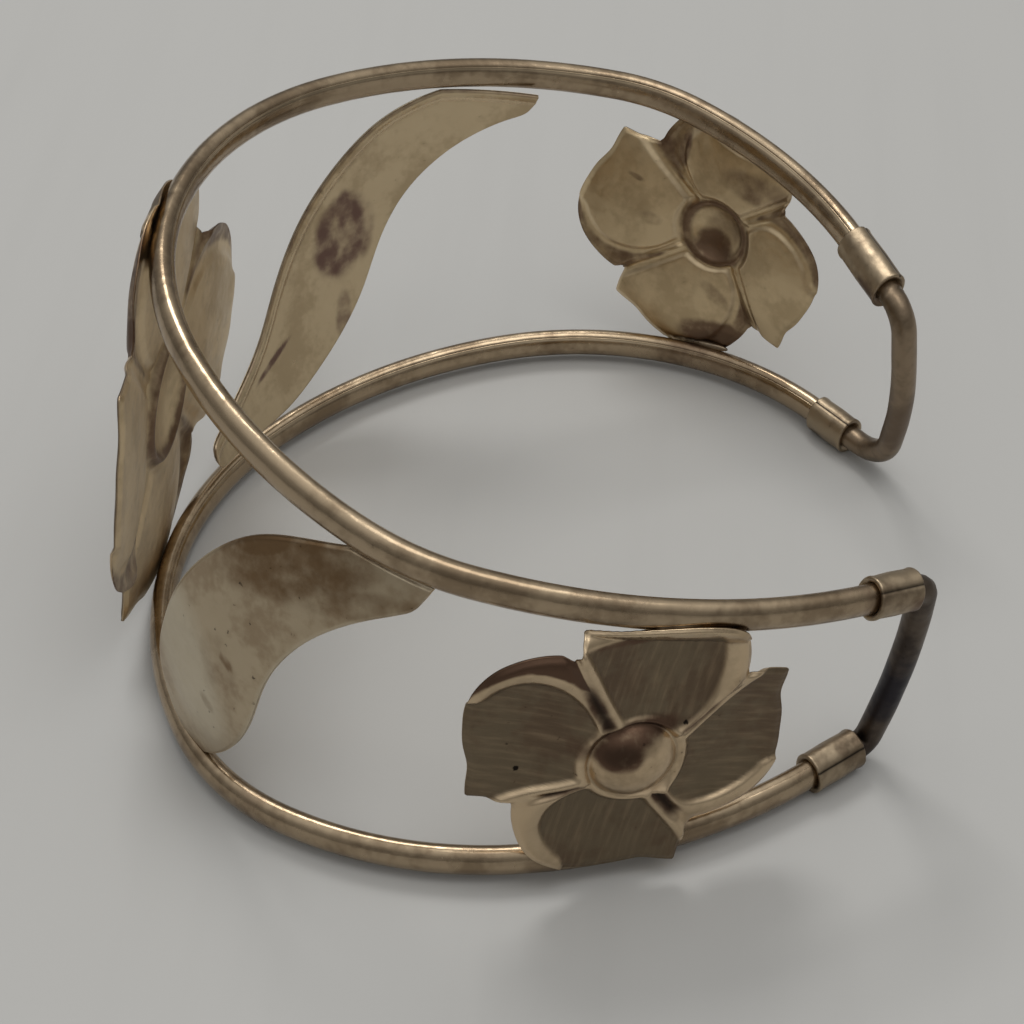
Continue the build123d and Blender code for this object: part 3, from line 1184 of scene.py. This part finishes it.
    def face_masks(self, r: np.ndarray, u: np.ndarray, petal: np.ndarray, y: np.ndarray) -> Masks:
        """What the finish of the outer face reads.

        Args:
            r: distances from the flower's middle, in shares of the reach.
            u: bearings past the petal's notch.
            petal: number of each point's petal.
            y: heights on the flat pattern, in millimetres.

        Returns:
            The masks.
        """
        inside = self.floor_edge(r, u)
        shoulder = np.array(self.shoulder_stains)[petal % self.petals]
        shoulder = shoulder * ease(-inside, 0.035, 0.075) * ease(r, 0.45, 0.6)
        border = ease(inside, -0.075, -0.03) * (1 - ease(inside, 0.012, 0.03)) * ease(r, 0.29, 0.33)
        masks = {
            Mask.BRUSHED: ease(inside, 0.012, 0.042),
            Mask.STAIN_AND_SHADE: np.maximum(shoulder, 0.85 * self.groove(r, u, 0.04)),
            Mask.DARK: np.maximum(0.62 * self.groove(r, u), 0.42 * bell(r, self.ring, 0.011)),
            Mask.PALE_AND_HIGHLIGHT: 0.4 * border,
        }
        if self.folded_top:
            folded = ease(y, self.fold + 0.3, self.fold + 0.9)
            masks[Mask.BRUSHED] = masks[Mask.BRUSHED] * (1 - folded)
            # A painted highlight on the folded top.
            masks[Mask.PALE_AND_HIGHLIGHT] = np.maximum(masks[Mask.PALE_AND_HIGHLIGHT], 0.5 * folded)
        return masks

    def back_masks(self, r: np.ndarray, u: np.ndarray) -> Masks:
        """What the finish of the hollow side reads, at shares of the reach and bearings past the notch."""
        inside = self.floor_edge(r, u)
        shoulder = 0.62 * ease(-inside, 0.0, 0.05) * ease(r, 0.4, 0.5)
        return {
            Mask.BRUSHED: np.zeros(len(r)),
            # Stained shoulders, and a ring of painted shade round the hollow of the boss.
            Mask.STAIN_AND_SHADE: np.maximum(shoulder, 0.9 * bell(r, self.ring - 0.005, 0.042)),
            Mask.DARK: 0.3 * self.groove(r, u),
            Mask.PALE_AND_HIGHLIGHT: 0.45 * bell(inside, 0.03, 0.018),
        }

    def build(self, layout: Layout, finishes: Finishes) -> bpy.types.Object:
        """Makes the flower as one stamped sheet with its two faces and its edge."""
        reach, step = self.reach, 360.0 / self.petals
        spread = np.linspace(0.0, 1.0, self.columns, endpoint=False)
        bearings = step * (spread - 0.06 * np.sin(2 * math.pi * spread) / math.pi * 2)
        outline = self.outline.radius(bearings)
        rings = np.concatenate([
            np.linspace(0.0, 0.26, 9)[:-1],
            np.linspace(0.26, 0.375, 15)[:-1],
            np.linspace(0.375, 0.96, 38)[:-1],
            [0.96, 0.975, 0.988, 0.996, 1.0],
        ])
        every = self.columns * self.petals
        u = np.tile(np.tile(bearings, self.petals), len(rings))
        edge = np.tile(np.tile(outline, self.petals), len(rings))
        petal = np.tile(np.repeat(np.arange(self.petals), self.columns), len(rings))
        ring = np.repeat(rings, every)
        r = ring * (1 - ease(ring, 0.38, 0.85)) + ring * edge * ease(ring, 0.38, 0.85)

        own = self.petal_points(r, u, petal)
        side = np.where(u < step / 2, -1, 1)
        beside = self.petal_points(r, u - side * step, petal + side)
        from_border = np.minimum(u, step - u)
        share = (0.5 * (1 - ease(from_border, 0.0, 2.5)))[:, None]
        sheet = own * (1 - share) + beside * share

        x, y = self.flat(r, np.radians(self.turn + step * petal + u))
        dome = self.boss_height * np.maximum(1.0 - (r / self.boss) ** 2, 0.0) ** self.boss_roundness
        dome += self.boss_base - self.ring_depth * bell(r, self.ring, self.ring_width)
        join = ease(r, self.ring, self.ring + 0.05)[:, None]
        sheet = np.column_stack([x, y, dome * reach]) * (1 - join) + sheet * join
        sheet[:, 2] += self.unevenness * wave(sheet, 5.0, self.turn) * ease(r, 0.4, 0.9)
        sheet = layout.over_rails(self.seat.place(sheet), self.seat.z) - self.seat.origin
        sheet = sheet @ np.array([self.seat.x, self.seat.y, self.seat.z]).T
        thin = SHEET / 2 * (1.0 - self.edge_rounding * ease(ring, self.edge_start, 1.0))

        masks, back_masks = self.face_masks(r, u, petal, y), self.back_masks(r, u)
        marked(masks, self.face_spots, x, y)
        marked(back_masks, self.back_spots, x, y)
        way = np.radians(self.turn + step * petal + self.middle[1])
        grain = np.column_stack([
            x * np.cos(way) + y * np.sin(way),
            y * np.cos(way) - x * np.sin(way),
            7.0 * petal.astype(float),
        ])

        front_faces = grid_faces(len(rings), every, True)
        back_faces = grid_faces(len(rings), every, True, start=len(r), flip=True)
        last = (len(rings) - 1) * every
        rim = []
        for column in range(every):
            a, b = last + column, last + (column + 1) % every
            rim.append((b, a, a + len(r), b + len(r))[::-1])
        faces = (front_faces, back_faces, rim)
        skin = stamped_skin(self.seat, layout.shift, sheet, thin, grain, (masks, back_masks), faces)
        materials = [finishes.flower_face, finishes.flower_back]
        return make_piece(f"{self.node}_stamping", skin, materials, Slot.FLOWER, [self.node])


@dataclass(frozen=True)
class Leaf:
    """A domed leaf, drawn by arcs from its tip under the upper rail to its foot on the lower one."""

    node: str
    seat: Placing
    spacing: float
    length: float
    side: int
    arcs: Sequence[tuple[Pair, Pair]]
    foot_arc: int
    lower: HalfRail
    upper: HalfRail
    face_spots: Sequence[Spot] = ()
    back_spots: Sequence[Spot] = ()
    rim_ridge: float = 0.0
    ridge_inset: float = 0.75
    unevenness: float = 0.05
    bend: float = 26.0
    rise: float = 1.8
    lap: float = 0.15
    end_rounding: int = 6
    rounding: int = 50
    rows: int = 150
    columns: int = 60

    @property
    def half_height(self) -> float:
        """Half the height that the outline's shares are taken of."""
        return self.spacing / 2 - RAIL_HEIGHT / 2 + self.lap

    def at(self, shares: Pair) -> np.ndarray:
        """A mark of the outline as a flat point."""
        return np.array([self.side * shares[0] * self.length, shares[1] * self.half_height])

    def edges(self) -> tuple[np.ndarray, np.ndarray]:
        """The inner and outer edge from the tip to the foot, each as evenly spaced flat points."""
        points, breaks = [], []
        start = self.at(self.arcs[-1][1])
        for through, end in self.arcs:
            a, b, c = start, self.at(through), self.at(end)
            centre = circle_centre(a, b, c)
            turns = [math.atan2(*(p - centre)[::-1]) for p in (a, b, c)]
            first = (turns[1] - turns[0] + math.pi) % (2 * math.pi) - math.pi
            second = (turns[2] - turns[1] + math.pi) % (2 * math.pi) - math.pi
            radius = np.linalg.norm(a - centre)
            angles = np.concatenate([
                turns[0] + first * np.linspace(0, 1, 24),
                turns[0] + first + second * np.linspace(0, 1, 25)[1:],
            ])
            breaks.append(len(points) + 23)
            points += [centre + radius * np.array([math.cos(t), math.sin(t)]) for t in angles[:-1]]
            start = self.at(end)
        loop = np.array(points)
        tip, foot = breaks[0], breaks[self.foot_arc]
        inner = loop[tip:foot + 1]
        outer = np.vstack([loop[foot:], loop[:tip + 1]])[::-1]
        return self.even(inner), self.even(outer)

    def even(self, points: np.ndarray) -> np.ndarray:
        """The same edge with the same number of rows of points, closer at both ends."""
        share = np.linspace(0, 1, self.rows)
        share = share - 0.12 * np.sin(2 * math.pi * share) / math.pi
        edge = smoothed(points_at(points, share * runs_along(points)[-1]), self.end_rounding)
        smooth = smoothed(edge, self.rounding)
        share = (ease(share, 0.04, 0.12) * (1 - ease(share, 0.88, 0.96)))[:, None]
        return edge * (1 - share) + smooth * share

    def build(self, layout: Layout, finishes: Finishes) -> bpy.types.Object:
        """Makes the leaf as one stamped sheet with its two faces and its edge."""
        inner, outer = self.edges()
        for edge in (inner, outer):
            gap = RAIL_HEIGHT / 2 + SEAT_GAP
            over = layout.rail_heights(self.upper, self.seat, edge[:, 0]) - gap
            under = layout.rail_heights(self.lower, self.seat, edge[:, 0]) + gap
            edge[:, 1] = np.clip(edge[:, 1], under, over)
        across = np.linspace(0, 1, self.columns)
        across = across - 0.14 * np.sin(2 * math.pi * across) / math.pi
        flat = (inner[:, None, :] * (1 - across[None, :, None]) + outer[:, None, :] * across[None, :, None])
        flat = flat.reshape(-1, 2)
        x, y = flat[:, 0], flat[:, 1]
        width = np.repeat(np.linalg.norm(outer - inner, axis=1), self.columns)
        to_outer = np.tile(1 - across, self.rows) * width
        to_edge = np.minimum(to_outer, np.tile(across, self.rows) * width)
        row_share = np.repeat(np.linspace(0, 1, self.rows), self.columns)
        to_edge = np.minimum(to_edge, 12.0 * np.minimum(row_share, 1 - row_share) + 0.02)

        dome = (self.half_height**2 + self.rise**2) / (2 * self.rise)
        from_axis = self.bend + self.rise - dome + np.sqrt(np.maximum(dome**2 - y**2, 1.0))
        height = np.sqrt(from_axis**2 - x**2) - self.bend
        relief = self.unevenness * wave(np.column_stack([x, y, height]), 8.0, self.length)
        relief -= self.rim_ridge * bell(to_outer, self.ridge_inset, 0.3) * ease(width, 0.6, 2.0)
        sheet = np.column_stack([x, y, height + relief])
        thin = SHEET / 2 * (0.35 + 0.65 * ease(to_edge, 0.0, 0.22))

        worn_edge = 1 - ease(to_edge, 0.05, 0.35)
        face_masks = {mask: np.zeros(len(x)) for mask in Mask}
        face_masks[Mask.PALE_AND_HIGHLIGHT] = 0.45 * worn_edge
        marked(face_masks, self.face_spots, x, y)
        back_masks = {mask: np.zeros(len(x)) for mask in Mask}
        back_masks[Mask.PALE_AND_HIGHLIGHT] = 0.5 * bell(to_outer, self.ridge_inset, 0.22) * bool(self.rim_ridge)
        back_masks[Mask.STAIN_AND_SHADE] = 0.45 * (1 - ease(to_outer, 0.05, 0.5))
        marked(back_masks, self.back_spots, x, y)

        count = len(x)
        turned = self.side < 0
        front_faces = grid_faces(self.rows, self.columns, False, flip=not turned)
        back_faces = grid_faces(self.rows, self.columns, False, start=count, flip=turned)
        rim = []
        for row in range(self.rows - 1):
            for column, outward in ((0, True), (self.columns - 1, False)):
                a, b = row * self.columns + column, (row + 1) * self.columns + column
                face = (a, b, b + count, a + count)
                rim.append(face if outward != turned else face[::-1])
        grain = np.column_stack([x * 0.7 + y * 0.7, y * 0.7 - x * 0.7, np.zeros(count)])
        faces = (front_faces, back_faces, rim)
        skin = stamped_skin(self.seat, layout.shift, sheet, thin, grain, (face_masks, back_masks), faces)
        materials = [finishes.leaf_face, finishes.leaf_back]
        return make_piece(f"{self.node}_stamping", skin, materials, Slot.LEAF, [self.node])


@dataclass(frozen=True)
class SolderBead:
    """A small uneven run of solder where a stamping meets a rail."""

    name: str
    seat: Placing
    middle: Triple
    half_sizes: Triple
    turn: float = 0.0
    lumpiness: float = 0.13
    rings: int = 18
    sides: int = 36

    def build(self, layout: Layout, finishes: Finishes) -> bpy.types.Object:
        """Makes the bead as a lumpy flattened drop."""
        tilts = np.linspace(0, math.pi, self.rings)
        tilt, bearing = np.repeat(tilts, self.sides), np.tile(round_angles(self.sides), self.rings)
        ball = np.column_stack([np.sin(tilt) * np.cos(bearing), np.sin(tilt) * np.sin(bearing), np.cos(tilt)])
        swell = 1 + self.lumpiness * wave(ball, 1.9, self.middle[0])
        lump = ball * swell[:, None] * np.array(self.half_sizes)
        c, s = math.cos(math.radians(self.turn)), math.sin(math.radians(self.turn))
        turned = lump @ np.array([[c, s, 0.0], [-s, c, 0.0], [0.0, 0.0, 1.0]])
        points = self.seat.place(turned + np.array(self.middle)) + layout.shift
        skin = Skin(points, grid_faces(self.rings, self.sides, True, flip=True), points.copy())
        return make_piece(self.name, skin, [finishes.solder], Slot.FLOWER)


@dataclass(frozen=True)
class Studio:
    """Pale table, soft light and the camera at the angle of the photograph."""

    table_half: float = 900.0
    table_colour: Colour = (0.462, 0.459, 0.446)
    table_wear: float = 0.93
    table_roughness: float = 0.62
    table_streaks: Triple = (60.0, 4.0, 1.0)
    floor_light: Colour = (0.17, 0.165, 0.155)
    wall_light: Colour = (0.31, 0.305, 0.295)
    ceiling_light: Colour = (0.86, 0.86, 0.85)
    camera_place: Triple = (14.559, -113.428, 113.007)
    camera_right: Triple = (0.996029, 0.088180, -0.012339)
    camera_up: Triple = (-0.051198, 0.680583, 0.730881)
    camera_forward: Triple = (-0.072846, 0.727346, -0.682394)
    focal_pixels: float = 2100.0
    image_pixels: float = 1024.0
    sensor: float = 36.0

    def table(self) -> None:
        """Makes the table top."""
        half = self.table_half * MM
        mesh = bpy.data.meshes.new("table_top")
        corners = [(-half, -half, 0), (half, -half, 0), (half, half, 0), (-half, half, 0)]
        mesh.from_pydata(corners, [], [(0, 1, 2, 3)])
        nodes = Nodes("table_lacquer")
        streak = nodes.noise(nodes.stretched(nodes.place(), self.table_streaks), 3.0, 3.0)
        share = nodes.times(nodes.step(streak, 0.45, 0.8), 0.35)
        worn = tuple(self.table_wear * part for part in self.table_colour)
        nodes.feed(nodes.shader.inputs["Base Color"], nodes.mix(share, self.table_colour, worn))
        nodes.shader.inputs["Roughness"].default_value = self.table_roughness
        mesh.materials.append(nodes.material)
        table = bpy.data.objects.new("table_top", mesh)
        bpy.context.scene.collection.objects.link(table)

    def surroundings(self) -> None:
        """Makes the room's light: a bright ceiling over darker walls."""
        world = bpy.data.worlds.new("room")
        bpy.context.scene.world = world
        world.use_nodes = True
        tree = world.node_tree
        place = tree.nodes.new("ShaderNodeTexCoord")
        split = tree.nodes.new("ShaderNodeSeparateXYZ")
        ramp = tree.nodes.new("ShaderNodeValToRGB")
        ramp.color_ramp.elements[0].position = 0.0
        ramp.color_ramp.elements[0].color = (*self.floor_light, 1)
        ramp.color_ramp.elements[1].position = 0.95
        ramp.color_ramp.elements[1].color = (*self.ceiling_light, 1)
        middle = ramp.color_ramp.elements.new(0.45)
        middle.color = (*self.wall_light, 1)
        tree.links.new(place.outputs["Generated"], split.inputs["Vector"])
        tree.links.new(split.outputs["Z"], ramp.inputs["Fac"])
        tree.links.new(ramp.outputs["Color"], tree.nodes["Background"].inputs["Color"])
        tree.nodes["Background"].inputs["Strength"].default_value = 1.0

    def lamp(self, name: str, place: Triple, aim: Triple, size: Pair, watts: float, colour: Colour) -> None:
        """Adds a soft rectangular lamp.

        Args:
            name: name of the lamp.
            place: where it is, in millimetres.
            aim: the point that it faces, in millimetres.
            size: its two sides, in millimetres.
            watts: its power.
            colour: its colour.
        """
        data = bpy.data.lights.new(name, "AREA")
        data.shape = "RECTANGLE"
        data.size, data.size_y = size[0] * MM, size[1] * MM
        data.energy, data.color = watts, colour
        lamp = bpy.data.objects.new(name, data)
        lamp.location = [part * MM for part in place]
        way = unit(np.array(place) - np.array(aim))
        side = unit(np.cross(np.array([0.0, 0.0, 1.0]), way))
        turn = np.array([side, np.cross(way, side), way]).T
        lamp.rotation_mode = "QUATERNION"
        lamp.rotation_quaternion = Matrix(turn.tolist()).to_quaternion()
        bpy.context.scene.collection.objects.link(lamp)

    def camera(self, shift: np.ndarray) -> None:
        """Adds the camera.

        Args:
            shift: the move from the rails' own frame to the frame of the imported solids.
        """
        data = bpy.data.cameras.new("camera")
        data.sensor_width = self.sensor
        data.lens = self.sensor * self.focal_pixels / self.image_pixels
        data.clip_start, data.clip_end = 0.01, 10.0
        camera = bpy.data.objects.new("camera", data)
        back = tuple(-part for part in self.camera_forward)
        turn = Matrix((self.camera_right, self.camera_up, back)).transposed()
        camera.matrix_world = Matrix.Translation((np.array(self.camera_place) + shift) * MM) @ turn.to_4x4()
        bpy.context.scene.collection.objects.link(camera)
        bpy.context.scene.camera = camera

    def build(self, shift: np.ndarray) -> None:
        """Makes the table, the light and the camera."""
        self.table()
        self.surroundings()
        self.lamp("window", (-150, 330, 580), (0, 0, 10), (230, 180), 1.05, (1.0, 0.985, 0.96))
        self.lamp("ceiling", (130, -40, 640), (0, 0, 0), (320, 320), 0.72, (1.0, 0.99, 0.97))
        self.camera(shift)
        bpy.context.scene.view_settings.view_transform = "Standard"
        log.info("studio ready")


FRONT_LEAF_ARCS = (
    ((0.452, 0.80), (0.42, 0.62)),
    ((0.14, 0.21), (0.02, -0.35)),
    ((-0.06, -0.67), (-0.20, -0.95)),
    ((-0.27, -1.0), (-0.34, -0.96)),
    ((-0.42, -0.64), (-0.38, -0.24)),
    ((-0.24, 0.33), (-0.04, 0.72)),
    ((0.12, 0.82), (0.26, 0.87)),
    ((0.36, 0.94), (0.45, 1.0)),
)
BACK_LEAF_ARCS = (
    ((0.522, 0.82), (0.503, 0.70)),
    ((0.29, 0.40), (0.12, -0.26)),
    ((0.0, -0.68), (-0.20, -0.97)),
    ((-0.35, -1.0), (-0.50, -0.98)),
    ((-0.52, -0.90), (-0.52, -0.80)),
    ((-0.37, -0.65), (-0.25, -0.37)),
    ((-0.11, 0.23), (0.07, 0.69)),
    ((0.17, 0.84), (0.30, 0.94)),
    ((0.40, 0.98), (0.52, 1.0)),
)


class Bangle:
    """The whole bangle, built in the order that a maker would join it."""

    def __init__(self) -> None:
        """Lays out the rails and the small flowers' seats, and makes the finishes."""
        self.layout = Layout()
        self.front_seat, self.front_spacing = self.layout.front_seat(52.0, 49.0)
        self.back_seat, self.back_spacing = self.layout.back_seat(57.0, 52.0)
        self.finishes = Finishes()

    def rails(self) -> None:
        """Makes the two rails."""
        layout = self.layout
        lower_burns = ((52.0, 6.0, 0.30), (-57.0, 5.0, 0.45), (26.0, 4.0, 0.3))
        upper_burns = ((49.0, 6.0, 0.25), (-52.0, 8.0, 0.3), (66.0, 4.0, 0.45))
        for rail in (
            Rail("lower_rail", layout.lower_back, layout.lower_front, burns=lower_burns),
            Rail("upper_rail", layout.upper_back, layout.upper_front, burns=upper_burns),
        ):
            rail.build(layout, self.finishes)

    def joints(self) -> None:
        """Makes the sleeves and the end loops."""
        layout, finishes = self.layout, self.finishes
        halves = {
            "front_upper_sleeve": (layout.upper_front, layout.front_upper_sleeve, 20.0, ((0.9, 200, 0.7),)),
            "front_lower_sleeve": (layout.lower_front, layout.front_lower_sleeve, 40.0, ((1.0, 250, 0.9),)),
            "back_upper_sleeve": (layout.upper_back, layout.back_upper_sleeve, -30.0, ((0.6, 230, 0.8),)),
            "back_lower_sleeve": (layout.lower_back, layout.back_lower_sleeve, 10.0, ((-0.5, 250, 0.7),)),
        }
        for node, (half, length, twist, stains) in halves.items():
            Sleeve(node, half, length, twist=twist, stains=stains).build(layout, finishes)
        front = (layout.front_upper_sleeve, layout.front_lower_sleeve)
        back = (layout.back_upper_sleeve, layout.back_lower_sleeve)
        EndLoop("front_end_loop", layout.upper_front, layout.lower_front, front, (1.0, 50, 1.05), 1.1).build(
            layout, finishes.front_loop
        )
        EndLoop("back_end_loop", layout.upper_back, layout.lower_back, back, (2.4, 26, 3.9), 1.3).build(
            layout, finishes.back_loop
        )

    def flowers(self) -> None:
        """Makes the three flowers."""
        layout, finishes = self.layout, self.finishes
        seat = self.front_seat.leaned((-2.95, 3.4), (0.0, 0.0, -0.54))
        Flower(
            "front_flower", seat, self.front_spacing, 0.27, 25.5, 31, 2.2,
            face_spots=(
                # The dark upper part of the boss: tarnish with painted shade.
                Spot(-0.9, -0.2, 1.8, 1.25, 12, 1.0),
                Spot(-0.9, -0.3, 1.5, 0.9, 12, 0.42, Mask.DARK),
                Spot(0.4, 1.0, 3.0, 1.1, 4, 0.85),
                Spot(-3.2, 0.2, 1.0, 1.3, 20, 0.5),
                Spot(-7.3, -1.3, 0.22, 0.22, 0, 1.0, Mask.DARK),
                Spot(3.5, 0.9, 0.17, 0.15, 0, 1.0, Mask.DARK),
                Spot(0.4, 8.2, 3.4, 0.4, -4, 0.7),
                # A painted highlight along the folded top.
                Spot(1.2, 9.6, 3.0, 0.6, 0, 1.0, Mask.PALE_AND_HIGHLIGHT),
            ),
            back_spots=(Spot(0.0, 0.4, 1.6, 1.2, 20, 0.6),),
            shoulder_stains=(0.05, 1.0, 0.05, 0.15),
            folded_top=2.5,
            hub_shift=(0.1, -1.6),
        ).build(layout, finishes)
        seat = self.back_seat.leaned((1.6, -8.9), (-0.3, 0.0, -0.32))
        Flower(
            "back_flower", seat, self.back_spacing, -0.70, 63.2, 24, 2.6,
            back_spots=(
                # Painted shadow at the bottom of the flower, where it meets the lower rail.
                Spot(-0.8, -9.2, 3.6, 1.7, 8, 1.0),
                Spot(-1.2, -9.5, 2.8, 1.1, 5, 0.36, Mask.DARK),
                # Painted shade low in the hollow of the boss.
                Spot(-0.7, -1.0, 1.9, 1.7, 30, 0.95),
                Spot(-1.6, 0.6, 2.0, 2.0, 0, 0.42),
                Spot(4.3, 1.2, 1.2, 0.7, 20, 0.42),
                Spot(-1.0, -5.2, 2.2, 0.8, 45, 0.38),
                Spot(1.6, 7.6, 0.8, 2.4, 15, 0.7),
                Spot(5.4, 4.8, 0.9, 0.3, 25, 0.45),
                Spot(-5.3, 5.2, 3.6, 1.6, 15, 0.5),
            ),
            shoulder_stains=(0.5, 0.5, 0.5, 0.5),
            hub_shift=(-1.0, 0.4),
            boss=0.245,
            boss_height=0.09,
            hub=0.285,
            border_height=0.022,
            groove_depth=0.018,
        ).build(layout, finishes)
        seat, spacing = layout.back_seat(1.5, 0.0)
        seat = seat.leaned((-1.45, -1.6), (0.1, 0.0, -0.39))
        Flower(
            "centre_flower", seat, spacing, 1.35, 49.1, 76, 6.5,
            shoulder_stains=(0.8, 0.8, 0.8, 0.8),
            boss_base=0.05,
            boss_height=0.05,
            border_height=0.015,
            groove_depth=0.01,
            outline=PetalOutline(
                notch=(0.76, 0),
                shoulder=(0.952, 16.6),
                corner=(1.02, 34.5),
                side=(0.98, 60),
                tip=(1.01, 77),
                last_notch=(0.76, 90),
            ),
        ).build(layout, finishes)

    def leaves(self) -> None:
        """Makes the two leaves."""
        layout, finishes = self.layout, self.finishes
        seat, spacing = layout.front_seat(26.0, 24.8)
        Leaf(
            "front_leaf", seat, spacing, 25.0, 1, FRONT_LEAF_ARCS, 3, layout.lower_front, layout.upper_front,
            face_spots=(
                Spot(2.2, 8.4, 7.5, 3.0, 22, 0.62),
                Spot(-0.4, 8.9, 3.4, 1.3, 22, 0.9),
                Spot(0.2, 7.2, 3.6, 1.5, 15, 0.55),
                Spot(7.2, 7.4, 5.0, 1.3, 12, 0.45),
                Spot(-1.9, -1.2, 0.9, 0.5, -30, 0.62),
                Spot(-2.6, -2.2, 3.6, 2.2, -70, 0.30),
                Spot(-4.0, -6.0, 1.1, 0.6, -40, 0.36),
                Spot(-2.6, -4.6, 2.6, 1.6, -60, 0.26),
                Spot(-6.5, -4.0, 3.6, 7.5, 25, 0.75, Mask.PALE_AND_HIGHLIGHT),
            ),
            back_spots=(Spot(0.0, 0.0, 3.0, 2.0, 40, 0.5),),
        ).build(layout, finishes)
        seat, spacing = layout.back_seat(24.8, 22.8)
        Leaf(
            "back_leaf", seat, spacing, 29.0, -1, BACK_LEAF_ARCS, 4, layout.lower_back, layout.upper_back,
            back_spots=(
                Spot(-0.5, 0.3, 4.2, 2.7, 100, 0.85, hollow=0.55),
                Spot(0.7, -1.2, 1.8, 1.3, 100, 0.75),
                Spot(-0.7, 2.7, 2.0, 1.0, 90, 0.75),
                Spot(-2.6, 0.2, 3.2, 1.2, 95, 0.45),
                Spot(-0.5, -7.0, 2.6, 0.9, 95, 0.5),
                Spot(7.0, -8.1, 2.6, 0.35, 150, 0.7),
            ),
            rim_ridge=0.13,
        ).build(layout, finishes)

    def solder(self) -> None:
        """Makes the solder runs that show where stampings meet the rails."""
        layout, finishes = self.layout, self.finishes
        front, back = self.front_seat, self.back_seat
        top, back_foot = self.front_spacing / 2 - 1.0, 1.25 - self.back_spacing / 2
        for bead in (
            SolderBead("front_flower_solder_top", front, (3.2, top, 0.55), (2.2, 0.6, 0.45), -3.0),
            SolderBead("front_flower_solder_foot", front, (-1.5, -top, 0.5), (1.8, 0.5, 0.4), 4.0),
            SolderBead("back_flower_solder_foot", back, (-0.6, back_foot, 0.25), (1.6, 0.3, 0.3), 6.0),
        ):
            bead.build(layout, finishes)

    def build(self) -> None:
        """Makes every piece of the bangle."""
        self.rails()
        self.joints()
        self.flowers()
        self.leaves()
        self.solder()


def main() -> None:
    """Builds the bangle and its studio."""
    bangle = Bangle()
    bangle.build()
    Studio().build(bangle.layout.shift)


if __name__ == "__main__":
    main()
